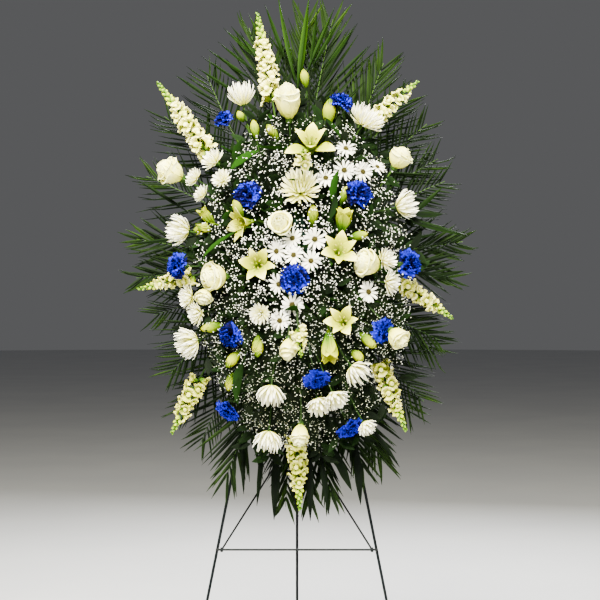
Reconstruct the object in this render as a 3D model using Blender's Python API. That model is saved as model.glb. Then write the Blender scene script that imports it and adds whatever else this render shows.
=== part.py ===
"""Standing funeral spray: an oval of flowers and palm fronds in a foam cage, tied to a folding wire easel.

Metres, +Z up. The origin is on the floor under the middle of the easel, and the spray faces -Y.
The spray and the easel's front frame are modelled in the coordinates of an empty that leans back with
the frame: x across, y towards the back and z up along the frame, from the middle of the oval.
"""

import math
import random

import bpy
from mathutils import Matrix, Vector
from mathutils.bvhtree import BVHTree

MM = 0.001

# Driving dimensions of the easel
LEAN = math.radians(10)
SPRAY_HEIGHT = 1.275
SPRAY_BACK = 0.0577
EASEL_LENGTH = 1.524
LEG_RADIUS = 0.0035
BAR_RADIUS = 0.0025
HINGE_RADIUS = 0.0020
GAP = 0.0003
LEG_APART_AT_TOP = 0.022
LOWER_BAR_Z = -0.713
LOWER_BAR_HALF = 0.192
UPPER_BAR_Z = 0.072
MIDDLE_BAR_Z = -0.072
HINGE_BELOW_TOP = 0.008
BACK_LEG_SLOPE = math.radians(5)
STAY_LENGTH = 0.3476
STAY_EYE_X = 0.181
STAY_HOOK_X = 0.0075
FOLDED_ANGLE = math.radians(1.5)
EYE_WALL = 0.0027
EYE_WIDTH = 0.006
BACK_EYE_WIDTH = 0.007
STOP_LENGTH = 0.012
BAR_SIDES = 8
EYE_SIDES = 10

# Driving dimensions of the foam and its cage
FOAM_HALF_X = 0.058
FOAM_HALF_Z = 0.115
FOAM_BACK = 0.0129
FOAM_FRONT = 0.104
CAGE_WIRE = 0.003
CAGE_BACK = 0.0091
CAGE_RIM = 0.0185
CAGE_RIB = 0.004
CAGE_HOOPS = (-0.108, -0.036, 0.036, 0.108)
CAGE_RIBS = (-0.112, -0.072, 0.0, 0.072, 0.112)
TIE_RADIUS = 0.0009
TIE_X = 0.012
TIE_TURNS = (0.0, 2.1, 4.2)
STEM_DEPTH = 0.026
TRUNK_RADIUS = 0.0032
TRUNK_ROOM = 0.0008
STEM_ROOM = 0.0009
FROND_ROOM = 0.0005
HUB_DEPTH = 0.118

# How the flowers stand: as seen from the front at VIEW_DISTANCE, on a dome
VIEW_DISTANCE = 3.5
VIEW_DROP = 0.100
DOME_HALF_X = 0.36
DOME_HALF_Z = 0.56
DOME_EDGE = 0.112
DOME_RISE = 0.115
FAN_HALF_X = 0.33
FAN_HALF_Z = 0.50
FAN_OUT = 1.4
RAISE_STEP = 0.004
RAISE_STEPS = 24
ROUTE_TRIES = 400
CLEAR = 0.0006
HEAD_SWELL = 1.05
LARGE_SUNK = 0.012
SMALL_SUNK = 0.030
STEM_RADIUS = 0.0019
THIN_STEM_RADIUS = 0.0015
SEED = 7

# Palm fronds
FROND_FIRST_LAYER = 0.022
FROND_LAYER = 0.008
FROND_LAYERS = 5
FROND_CUP = 0.006
BLADE = 0.0009
RACHIS_WIDTH = 0.0046
RACHIS_THICK = 0.0030
FROND_PAIRS = 12

# Each frond: where it enters the foam, its tip as seen, how far its middle is bowed, longest leaflet (mm)
FRONDS = (
    ("right", (58, 8), (432, 52), -10, 170),
    ("right_upper", (58, 26), (385, 205), 10, 160),
    ("upper_right", (58, 62), (338, 352), 12, 165),
    ("top_right", (22, 115), (95, 632), 14, 215),
    ("top_left", (-24, 115), (-126, 608), -10, 175),
    ("upper_left", (-58, 66), (-345, 372), -14, 175),
    ("left", (-58, 12), (-432, 58), 10, 175),
    ("left_lower", (-58, -22), (-372, -142), 10, 150),
    ("lower_left", (-58, -76), (-304, -396), 10, 165),
    ("bottom_left", (-38, -115), (-188, -572), 10, 175),
    ("bottom", (-12, -115), (-30, -640), 6, 150),
    ("bottom_right", (14, -115), (92, -622), -8, 165),
    ("lower_right", (40, -115), (228, -528), -10, 165),
    ("right_lower", (58, -70), (330, -366), -10, 165),
    ("right_down", (58, -50), (372, -206), -8, 160),
)

# Snapdragons round the rim: foam entry, lowest floret and tip as seen (mm), radius and depth of the spike
SPIKES = (
    ("top", (-22, 115), (-62, 404), (-100, 622), 33, 104),
    ("upper_left", (-46, 115), (-226, 272), (-350, 446), 33, 106),
    ("upper_right", (46, 115), (196, 356), (304, 448), 29, 106),
    ("left", (-58, -8), (-262, -40), (-400, -74), 27, 102),
    ("right", (58, -16), (262, -58), (392, -148), 29, 102),
    ("lower_left", (-58, -60), (-246, -300), (-314, -436), 30, 102),
    ("lower_right", (58, -86), (206, -262), (274, -430), 31, 102),
    ("bottom", (4, -115), (-2, -444), (8, -628), 31, 100),
)
SPIKE_ENTRY_DEPTH = 0.066
SPIKE_LEVELS = 8
SPIKE_FLORETS = 4
SPIKE_STEM_RADIUS = 0.0022

# Bunches: where the stems part in front of the foam, then each head: kind, place as seen, radius (mm),
# how far it turns from the viewer and, where it isn't straight outwards, which way (degrees)
BUNCHES = {
    "carnations_upper_left": (
        (-44, 54),
        (
            ("carnation", -185, 355, 22, 0.8),
            ("carnation", -125, 165, 34, 0.6),
            ("carnation", -302, -15, 30, 1.1),
        ),
    ),
    "carnations_upper_right": (
        (46, 56),
        (
            ("carnation", 112, 398, 28, 0.9),
            ("carnation", 158, 170, 32, 0.7),
            ("carnation", 285, -10, 34, 1.1),
        ),
    ),
    "carnations_lower_left": (
        (-26, -22),
        (
            ("carnation", -168, -190, 29, 0.9),
            ("carnation", -176, -380, 30, 1.7),
            ("carnation", -5, -48, 34, 0.5),
        ),
    ),
    "carnations_lower_right": (
        (22, -68),
        (
            ("carnation", 218, -178, 29, 1.1),
            ("carnation", 135, -424, 31, 1.7),
            ("carnation", 50, -302, 31, 1.5),
        ),
    ),
    "roses_upper_left": (
        (-20, 66),
        (
            ("rose", -22, 388, 36, 0.9),
            ("rose", -310, 218, 34, 0.4),
            ("rose", -40, 88, 27, 0.5),
        ),
    ),
    "roses_right": (
        (48, 6),
        (
            ("rose", 255, 250, 28, 1.2, 55),
            ("rose", 182, -10, 32, 0.9, 170),
            ("rose", 250, -190, 27, 1.6, -50),
        ),
    ),
    "roses_lower_left": (
        (-14, -58),
        (
            ("rose", -202, -42, 32, 0.8, 190),
            ("rose", -232, -88, 20, 1.4, 260),
            ("rose", -22, -218, 22, 2.0, -92),
            ("rose", 8, -432, 26, 2.4, -94),
        ),
    ),
    "mums_upper_left": (
        (-44, 86),
        (
            ("mum", -138, 412, 34, 2.0, 100),
            ("small_mum", -210, 250, 31, 0.8),
            ("small_mum", -258, 206, 25, 1.0),
            ("small_mum", -188, 203, 25, 0.5),
            ("small_mum", -238, 166, 23, 1.2),
        ),
    ),
    "mums_upper_right": (
        (22, 82),
        (
            ("mum", 8, 180, 46, 0.4),
            ("mum", 172, 350, 44, 0.7),
            ("mum", 272, 138, 34, 1.3, 10),
        ),
    ),
    "mums_left": (
        (-48, -14),
        (
            ("mum", -295, 75, 36, 1.1, 178),
            ("small_mum", -272, -94, 30, 1.1),
            ("small_mum", -250, -134, 28, 1.0),
            ("mum", -272, -208, 36, 1.2, 200),
            ("small_mum", -92, -135, 26, 0.6),
        ),
    ),
    "mums_right": (
        (46, -52),
        (
            ("small_mum", 224, 0, 30, 1.0, 10),
            ("small_mum", 234, -56, 30, 1.1),
            ("mum", 152, -282, 32, 1.5),
            ("small_mum", 176, -420, 24, 1.5),
        ),
    ),
    "mums_bottom": (
        (-12, -90),
        (
            ("mum", -66, -336, 32, 2.0, -96),
            ("mum", -72, -452, 33, 2.2, -94),
            ("small_mum", 56, -366, 30, 1.4),
            ("small_mum", 98, -350, 30, 1.4),
        ),
    ),
    "daisies_centre": (
        (-14, 2),
        (
            ("daisy", -10, 54, 24, 0.5),
            ("daisy", -50, 22, 24, 0.5),
            ("daisy", -8, 12, 24, 0.4),
            ("daisy", 45, 52, 26, 0.5),
            ("daisy", 36, -2, 24, 0.5),
            ("daisy", -46, -60, 23, 0.7),
            ("daisy", -12, -112, 26, 0.6),
            ("daisy", -42, -152, 24, 0.7),
        ),
    ),
    "daisies_right": (
        (20, 54),
        (
            ("daisy", 178, -80, 25, 0.6),
            ("daisy", 122, 278, 24, 0.6),
            ("daisy", 118, 224, 25, 0.6),
            ("daisy", 72, 204, 24, 0.5),
            ("daisy", 164, 220, 24, 0.6),
            ("daisy", 200, 232, 22, 0.7),
        ),
    ),
    "lilies_top": (
        (-12, 92),
        (
            ("lily", 35, 302, 46, 0.9, 95),
            ("bud", -140, 358, 11, 1.6),
            ("bud", -105, 325, 11, 3.0, 100),
            ("bud", -60, 318, 11, 1.8, 130),
            ("bud", 20, 452, 11, 2.0, 100),
            ("bud", 80, 366, 17, 2.4, 85),
            ("leaf", -120, 250, 75, 3.0, 150),
            ("leaf", -20, 280, 80, 3.0, 175),
        ),
    ),
    "lilies_left": (
        (-46, 20),
        (
            ("lily", -100, -10, 43, 0.3),
            ("lily", -146, 90, 38, 1.6, 200),
            ("bud", -146, 126, 12, 1.2, 120),
            ("bud", -228, 112, 12, 2.2, 130),
            ("bud", -232, 80, 12, 2.4, 190),
            ("leaf", -150, 72, 105, 3.0, 216),
        ),
    ),
    "lilies_right": (
        (26, -8),
        (
            ("lily", 108, 28, 43, 0.5, 60),
            ("lily", 118, 108, 36, 1.7, 80),
            ("lily", 112, -152, 41, 0.6, 150),
            ("lily", 82, -228, 36, 2.4, -88),
            ("bud", 40, 108, 13, 1.6, 88),
            ("bud", 152, 60, 11, 3.0, 10),
            ("bud", 118, 160, 11, 2.0, 70),
            ("bud", 176, -200, 13, 2.4, -45),
            ("bud", 150, -238, 12, 1.0),
            ("leaf", 92, 140, 85, 3.0, 80),
        ),
    ),
    "lily_buds_lower_left": (
        (-44, -60),
        (
            ("bud", -210, -168, 13, 3.0, 192),
            ("bud", -98, -214, 14, 2.0, -90),
            ("bud", -166, -302, 12, 2.4, -100),
            ("bud", -158, -246, 13, 2.4, 235),
            ("leaf", -132, -250, 110, 3.2, 262),
        ),
    ),
    "snapdragon_middle": ((46, 86), (("spikelet", 14, 236, 30, 0.6),)),
    "snapdragon_low": ((14, -56), (("spikelet", 4, -176, 24, 2.2, -84),)),
}

# Baby's breath: where each spray's stems part, the middle of its cloud as seen and half its size (mm)
BREATH = {
    "babys_breath_upper_left": ((-24, 26), (-90, 190), (140, 190)),
    "babys_breath_upper_right": ((24, 26), (150, 130), (140, 190)),
    "babys_breath_lower_right": ((14, -22), (110, -250), (150, 170)),
    "babys_breath_lower_left": ((-30, -88), (-90, -230), (150, 190)),
}
BREATH_SPRIGS = 6
FLORETS_A_SPRIG = 4
SPRIG_SWAY = 0.016
BREATH_TRIES = 160
FLORET_RADIUS = 0.0052
TWIG_RADIUS = 0.0009

# Head outlines as shares of the radius: lobes, end of the stem, rings (tip radius, tip height,
# dip radius, dip height, turn in lobes), highest point, material slot of each band from the bottom up
HEADS = {
    "carnation": (
        7,
        -0.98,
        (
            (0.20, -0.28, 0.20, -0.28, 0.0),
            (1.00, 0.12, 0.84, -0.04, 0.0),
            (0.70, 0.28, 0.56, 0.36, 0.5),
            (0.80, 0.52, 0.42, 0.44, 0.5),
        ),
        0.42,
        (0, 1, 1, 1, 1),
    ),
    "rose": (
        5,
        -0.88,
        (
            (0.66, -0.46, 0.58, -0.50, 0.0),
            (1.00, 0.44, 0.84, 0.30, 0.0),
            (0.70, 0.38, 0.64, 0.42, 0.5),
            (0.56, 0.78, 0.42, 0.64, 0.5),
        ),
        0.70,
        (0, 1, 1, 1, 1),
    ),
    "mum": (
        8,
        -0.36,
        (
            (1.00, 0.16, 0.60, 0.00, 0.0),
            (0.80, 0.44, 0.46, 0.28, 0.5),
            (0.48, 0.66, 0.22, 0.50, 0.0),
        ),
        0.58,
        (0, 1, 1, 1),
    ),
    "small_mum": (
        7,
        -0.34,
        (
            (1.00, 0.14, 0.58, 0.00, 0.0),
            (0.70, 0.42, 0.36, 0.28, 0.5),
        ),
        0.50,
        (0, 1, 1),
    ),
    "daisy": (
        8,
        -0.32,
        (
            (1.00, 0.12, 0.42, 0.00, 0.0),
            (0.27, 0.12, 0.27, 0.12, 0.0),
        ),
        0.26,
        (0, 1, 2),
    ),
    "lily": (
        6,
        -1.20,
        (
            (0.30, -0.46, 0.26, -0.46, 0.0),
            (1.00, 0.26, 0.44, 0.02, 0.0),
            (0.42, 0.10, 0.24, 0.02, 0.0),
        ),
        -0.28,
        (1, 1, 1, 1),
    ),
    "bud": (
        2,
        -2.20,
        (
            (0.96, -0.60, 0.96, -0.60, 0.0),
            (0.80, 0.90, 0.80, 0.90, 0.0),
        ),
        2.30,
        (0, 2, 2),
    ),
}

COLOURS = {
    "easel": ("#14201f", 0.45, 0.6),
    "foam": ("#2f6b3c", 0.95, 0.0),
    "cage": ("#1f4a2a", 0.5, 0.0),
    "tie": ("#3b4a3a", 0.5, 0.8),
    "palm": ("#24481f", 0.55, 0.0),
    "stem": ("#4e7a35", 0.6, 0.0),
    "carnation": ("#1433c4", 0.7, 0.0),
    "rose": ("#f1eccb", 0.6, 0.0),
    "mum": ("#f3f4f2", 0.6, 0.0),
    "daisy": ("#f5f5f2", 0.6, 0.0),
    "daisy_eye": ("#8f9424", 0.8, 0.0),
    "lily": ("#e6ebb6", 0.5, 0.0),
    "lily_bud": ("#b5c542", 0.5, 0.0),
    "snapdragon": ("#f1f2d8", 0.6, 0.0),
    "snapdragon_tip": ("#8fae3e", 0.6, 0.0),
    "breath": ("#f4f4f0", 0.7, 0.0),
}
PETALS = {
    "carnations": ("stem", "carnation", "carnation"),
    "roses": ("stem", "rose", "rose"),
    "mums": ("stem", "mum", "mum"),
    "daisies": ("stem", "daisy", "daisy_eye"),
    "lilies": ("stem", "lily", "lily_bud"),
    "lily": ("stem", "lily", "lily_bud"),
    "snapdragon": ("stem", "snapdragon", "snapdragon_tip"),
    "babys": ("stem", "breath", "breath"),
}


def clear_scene():
    for obj in list(bpy.data.objects):
        bpy.data.objects.remove(obj, do_unlink=True)


def linear(value):
    return value / 12.92 if value <= 0.04045 else ((value + 0.055) / 1.055) ** 2.4


def material(name):
    """The Principled material of this name, made on first use."""
    found = bpy.data.materials.get(name)
    if found:
        return found
    code, roughness, metallic = COLOURS[name]
    made = bpy.data.materials.new(name)
    made.use_nodes = True
    shader = made.node_tree.nodes["Principled BSDF"]
    rgb = [linear(int(code[i : i + 2], 16) / 255) for i in (1, 3, 5)]
    shader.inputs["Base Color"].default_value = (*rgb, 1.0)
    shader.inputs["Roughness"].default_value = roughness
    shader.inputs["Metallic"].default_value = metallic
    made.diffuse_color = (*rgb, 1.0)
    return made


def seen(across, up, depth):
    """Where, in the spray's coordinates, a point this far in front of the frame shows at (across, up).

    across and up are metres in the upright plane through the middle of the spray, seen from
    VIEW_DISTANCE in front and VIEW_DROP below.
    """
    above_eye = up + VIEW_DROP
    level = (
        above_eye * (1 - depth * math.cos(LEAN) / VIEW_DISTANCE)
        - VIEW_DROP
        - depth * math.sin(LEAN)
    )
    height = level / (math.cos(LEAN) - above_eye * math.sin(LEAN) / VIEW_DISTANCE)
    nearer = depth * math.cos(LEAN) - height * math.sin(LEAN)
    return Vector((across * (1 - nearer / VIEW_DISTANCE), -depth, height))


def dome(across, up):
    """How far in front of the frame the flowers' own surface lies at this place."""
    inside = 1 - (across / DOME_HALF_X) ** 2 - (up / DOME_HALF_Z) ** 2
    return DOME_EDGE + DOME_RISE * math.sqrt(max(0.0, inside))


def facing(across, up, turn, heading=None):
    """The way a head faces: outwards from the middle of the spray, or by its own heading."""
    if heading is None:
        side = Vector((across / FAN_HALF_X, up / FAN_HALF_Z)) * FAN_OUT * turn
    else:
        way = math.radians(heading)
        side = Vector((math.cos(way), math.sin(way))) * turn
    return Vector((side.x, -1.0, side.y)).normalized()


def stand(point, axis, roll=0.0):
    """The matrix that puts a shape's +Z along axis at point, turned by roll."""
    turned = axis.to_track_quat("Z", "Y").to_matrix().to_4x4()
    return Matrix.Translation(point) @ turned @ Matrix.Rotation(roll, 4, "Z")


def band(low, high, first_low, first_high):
    """Triangles between two rings that turn the same way, each from its own first corner."""
    faces = []
    i = j = 0
    while i < low or j < high:
        a = first_low + i % low
        b = first_high + j % high
        if j == high or (i < low and (i + 1) * high <= (j + 1) * low):
            i += 1
            faces.append((a, first_low + i % low, b))
        else:
            j += 1
            faces.append((a, first_high + j % high, b))
    return faces


def ring_stack(rings, bottom=None, top=None, slots=None):
    """A closed shape through rings, each counter-clockwise seen from the top.

    An end is a point, or a flat cap where it is None. slots gives each band's material slot.
    """
    corners = [p for ring in rings for p in ring]
    faces = []
    marks = []
    slots = slots or (0,) * (len(rings) + 1)
    first = 0
    for ring, above, slot in zip(rings, rings[1:], slots[1:]):
        joined = band(len(ring), len(above), first, first + len(ring))
        faces += joined
        marks += [slot] * len(joined)
        first += len(ring)
    count = len(rings[0])
    if bottom is None:
        faces += [(0, j + 1, j) for j in range(1, count - 1)]
    else:
        corners.append(bottom)
        faces += [(len(corners) - 1, (j + 1) % count, j) for j in range(count)]
    marks += [slots[0]] * (len(faces) - len(marks))
    count = len(rings[-1])
    if top is None:
        faces += [(first, first + j, first + j + 1) for j in range(1, count - 1)]
    else:
        corners.append(top)
        faces += [
            (len(corners) - 1, first + j, first + (j + 1) % count) for j in range(count)
        ]
    marks += [slots[-1]] * (len(faces) - len(marks))
    return corners, faces, marks


def moved(shape, matrix):
    corners, faces, marks = shape
    return [matrix @ p for p in corners], faces, marks


def circle(count, radius, height=0.0, turn=0.0):
    step = 2 * math.pi / count
    return [
        Vector((radius * math.cos(turn + step * i), radius * math.sin(turn + step * i), height))
        for i in range(count)
    ]


def sections(path, radii, sides, last=None):
    """Rings square to the path at each of its points, turned with the last one's frame if given."""
    ways = [(b - a).normalized() for a, b in zip(path, path[1:])]
    tangents = [ways[0]]
    tangents += [(a + b).normalized() for a, b in zip(ways, ways[1:])]
    tangents.append(ways[-1])
    turned = last or tangents[-1].to_track_quat("Z", "Y").to_matrix()
    way = turned @ Vector((0, 0, 1))
    rings = []
    for point, radius, tangent in reversed(list(zip(path, radii, tangents))):
        turned = way.rotation_difference(tangent).to_matrix() @ turned
        way = tangent
        rings.append([point + turned @ p for p in circle(sides, radius)])
    return rings[::-1]


def tube(path, radii, sides, slot=0):
    """A rod along the points of path, with its section square to the path at each."""
    return ring_stack(sections(path, radii, sides), slots=(slot,) * (len(path) + 1))


def box(low, high):
    """A block between two opposite corners."""
    rings = [
        [
            Vector((low[0], low[1], z)),
            Vector((high[0], low[1], z)),
            Vector((high[0], high[1], z)),
            Vector((low[0], high[1], z)),
        ]
        for z in (low[2], high[2])
    ]
    return ring_stack(rings)


def bloom(kind, radius):
    """Rings, top point and slots of one bloom or bud, facing +Z, from its outline in HEADS."""
    lobes, _, outline, top, slots = HEADS[kind]
    rings = []
    for tip, tip_z, dip, dip_z, turn in outline:
        ring = []
        for i in range(2 * lobes):
            angle = math.pi * (i + 2 * turn) / lobes
            reach, height = (tip, tip_z) if i % 2 == 0 else (dip, dip_z)
            ring.append(
                Vector((reach * math.cos(angle), reach * math.sin(angle), height)) * radius
            )
        rings.append(ring)
    return rings, Vector((0, 0, top * radius)), slots


def spike(radius, length, levels, florets):
    """A snapdragon's spike: florets in levels, each turned half a floret from the one below."""
    rings = []
    slots = []
    for level in range(levels):
        along = (level + 0.5) / levels
        wide = radius * (1 - 0.80 * along**1.6)
        ring = []
        for i in range(2 * florets):
            angle = math.pi * i / florets
            out = i % 2 == level % 2
            reach = wide * (1.0 if out else 0.60)
            lift = 0.012 * (1 - along) if out else 0.0
            ring.append(
                Vector((reach * math.cos(angle), reach * math.sin(angle), along * length + lift))
            )
        rings.append(ring)
        slots.append(1 if along < 0.66 else 2)
    return rings, Vector((0, 0, length)), (*slots, 2)


def leaf(length):
    """A lance-shaped blade that grows along +Z and bends back towards -Y at its tip."""
    half = length * 0.13
    rings = []
    for along, wide in ((0.0, 0.22), (0.32, 1.0), (0.68, 0.8), (1.0, 0.12)):
        bend = -0.12 * length * along**2
        x = half * wide
        z = along * length
        rings.append(
            [
                Vector((x, bend, z)),
                Vector((0.0, bend + BLADE + 0.14 * x, z)),
                Vector((-x, bend, z)),
                Vector((0.0, bend - BLADE + 0.14 * x, z)),
            ]
        )
    return rings, None, (0,) * 5


def head(kind, radius):
    if kind == "spikelet":
        return spike(radius, radius * 3.0, 5, SPIKE_FLORETS)
    if kind == "leaf":
        return leaf(radius)
    return bloom(kind, radius)


def neck_of(kind, radius):
    """How far along a head's own axis its stem ends."""
    if kind == "spikelet":
        return -0.010
    if kind == "leaf":
        return -0.012
    return HEADS[kind][1] * radius


def head_body(parts, neck, matrix):
    """A head by itself, closed at its neck, to test what room it needs."""
    rings, top, slots = parts
    shape = ring_stack(rings, Vector((0, 0, neck)), top, slots)
    return moved(shape, matrix)


def on_stem(parts, matrix, path, radii, sides):
    """A head and its stem in one closed shape, the stem's sides running on into the head's base."""
    rings, top, slots = parts
    stem = sections(path, radii, sides, matrix.to_3x3())
    whole = stem + [[matrix @ p for p in ring] for ring in rings]
    top = matrix @ top if top else None
    return ring_stack(whole, None, top, (0,) * len(stem) + tuple(slots))


def mesh_object(name, shape, slots, parent=None):
    corners, faces, marks = shape
    mesh = bpy.data.meshes.new(name)
    mesh.from_pydata(corners, [], faces)
    for slot in slots:
        mesh.materials.append(material(slot))
    mesh.polygons.foreach_set("material_index", marks)
    obj = bpy.data.objects.new(name, mesh)
    bpy.context.scene.collection.objects.link(obj)
    obj.parent = parent
    return obj


def combine(obj, shapes, slots, operation):
    """Joins the shapes to obj, or cuts them from it, in one Boolean that is then applied."""
    helpers = bpy.data.collections.new(obj.name + "_helpers")
    bpy.context.scene.collection.children.link(helpers)
    for shape in shapes:
        helper = mesh_object("helper", shape, slots)
        bpy.context.scene.collection.objects.unlink(helper)
        helpers.objects.link(helper)
    modifier = obj.modifiers.new("Boolean", "BOOLEAN")
    modifier.operation = operation
    modifier.operand_type = "COLLECTION"
    modifier.collection = helpers
    modifier.solver = "MANIFOLD"
    parent = obj.parent
    obj.parent = None
    bpy.context.view_layer.objects.active = obj
    bpy.ops.object.modifier_apply(modifier=modifier.name)
    obj.parent = parent
    for helper in list(helpers.objects):
        bpy.data.objects.remove(helper, do_unlink=True)
    bpy.data.collections.remove(helpers)


def fused(name, shapes, slots, parent):
    obj = mesh_object(name, shapes[0], slots, parent)
    if len(shapes) > 1:
        combine(obj, shapes[1:], slots, "UNION")
    return obj


class Room:
    """What already stands in the spray, so that the next piece can be kept clear of it."""

    def __init__(self):
        self.taken = []

    def take(self, node, index, shape):
        self.taken.append((node, index, BVHTree.FromPolygons(shape[0], shape[1])))

    def is_free(self, node, index, shape):
        tree = BVHTree.FromPolygons(shape[0], shape[1])
        for other_node, other_index, other in self.taken:
            if other_node == node and other_index in (None, index):
                continue
            if tree.overlap(other):
                return False
        return True


def swollen(shape, by):
    """The shape grown from its middle, for testing that it keeps a gap."""
    corners, faces, marks = shape
    middle = sum(corners, Vector()) / len(corners)
    return [middle + (p - middle) * by for p in corners], faces, marks


def place_heads(room, draw):
    """Every head of every bunch, moved forward from the dome until it is clear of those before it."""
    placed = {}
    for node, (_, heads) in BUNCHES.items():
        placed[node] = []
        for index, (kind, across, up, radius, turn, *heading) in enumerate(heads):
            across, up, radius = across * MM, up * MM, radius * MM
            axis = facing(across, up, turn, *heading)
            roll = draw.uniform(0, 2 * math.pi) if kind != "leaf" else draw.uniform(-0.6, 0.6)
            sunk = SMALL_SUNK if kind in ("leaf", "bud", "daisy") else LARGE_SUNK
            parts = head(kind, radius)
            neck = neck_of(kind, radius)
            for step in range(RAISE_STEPS):
                depth = dome(across, up) - sunk + step * RAISE_STEP
                matrix = stand(seen(across, up, depth), axis, roll)
                body = head_body(parts, neck, matrix)
                if room.is_free(node, -1, swollen(body, HEAD_SWELL)):
                    break
            room.take(node, index, body)
            placed[node].append((parts, matrix, matrix @ Vector((0, 0, neck)), axis))
    return placed


def hub_point(place):
    return Vector((place[0] * MM, -HUB_DEPTH, place[1] * MM))


def trunk(place, grow=0.0):
    """The part of a bunch that stands in the foam, or with grow the hole for it."""
    deep = FOAM_FRONT - STEM_DEPTH - grow
    path = [
        Vector((place[0] * MM, -deep, place[1] * MM)),
        hub_point(place) + Vector((0, -0.002, 0)),
    ]
    return tube(path, [TRUNK_RADIUS + grow] * 2, 4)


def route(room, node, index, hub, neck, axis, radius, draw):
    """The points of a stem from hub to neck, bowed until it is clear of other stems and heads."""
    reach = (neck - hub).length
    lead = min(0.4 * reach, 0.09)
    for attempt in range(ROUTE_TRIES):
        middle = neck - axis * lead
        if attempt:
            spread = 0.004 + attempt * 0.0003
            middle += Vector([draw.uniform(-spread, spread) for _ in range(3)])
        start = hub + (middle - hub).normalized() * 0.004
        test = tube([start, middle, neck], [radius + CLEAR] * 3, 4)
        if room.is_free(node, index, test):
            break
    path = [hub, middle, neck]
    room.take(node, None, tube(path, [radius] * 3, 4))
    return path


def bunches(spray, room, draw):
    placed = place_heads(room, draw)
    for node, (place, heads) in BUNCHES.items():
        room.take(node, None, trunk(place))
    for node, (place, heads) in BUNCHES.items():
        shapes = [trunk(place)]
        for index, (parts, matrix, neck, axis) in enumerate(placed[node]):
            thin = heads[index][0] in ("leaf", "bud", "daisy", "small_mum")
            radius = THIN_STEM_RADIUS if thin else STEM_RADIUS
            path = route(room, node, index, hub_point(place), neck, axis, radius, draw)
            shapes.append(on_stem(parts, matrix, path, [radius] * 3, 3 if thin else 4))
        fused(node, shapes, PETALS[node.split("_")[0]], spray)


def spikes(spray, room):
    """The snapdragons round the rim, each with its own stem into the side of the foam."""
    holes = []
    for name, entry, low, tip, radius, depth in SPIKES:
        node = "snapdragon_" + name
        base = seen(low[0] * MM, low[1] * MM, depth * MM)
        end = seen(tip[0] * MM, tip[1] * MM, depth * MM)
        door = Vector((entry[0] * MM, -SPIKE_ENTRY_DEPTH, entry[1] * MM))
        inward = (door - base).normalized()
        foot = door + inward * STEM_DEPTH
        axis = (end - base).normalized()
        parts = spike(radius * MM, (end - base).length, SPIKE_LEVELS, SPIKE_FLORETS)
        matrix = stand(base, axis)
        path = [foot, base - axis * 0.01]
        whole = on_stem(parts, matrix, path, [SPIKE_STEM_RADIUS] * 2, 4)
        room.take(node, None, whole)
        mesh_object(node, whole, PETALS["snapdragon"], spray)
        way = (path[1] - foot).normalized()
        hole = sections(path, [SPIKE_STEM_RADIUS + STEM_ROOM] * 2, 4, matrix.to_3x3())
        span = STEM_DEPTH + 0.012
        near = [p - way * 0.001 for p in hole[0]]
        holes.append(ring_stack([near, [p + way * span for p in near]]))
    return holes


def frond_depth(point, layer):
    """Depth of a frond's surface: each layer is the same shallow cup, one step further forward."""
    far = math.hypot(point[0], point[1]) / 0.65
    return FROND_FIRST_LAYER + layer * FROND_LAYER + FROND_CUP * far * far


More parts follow.
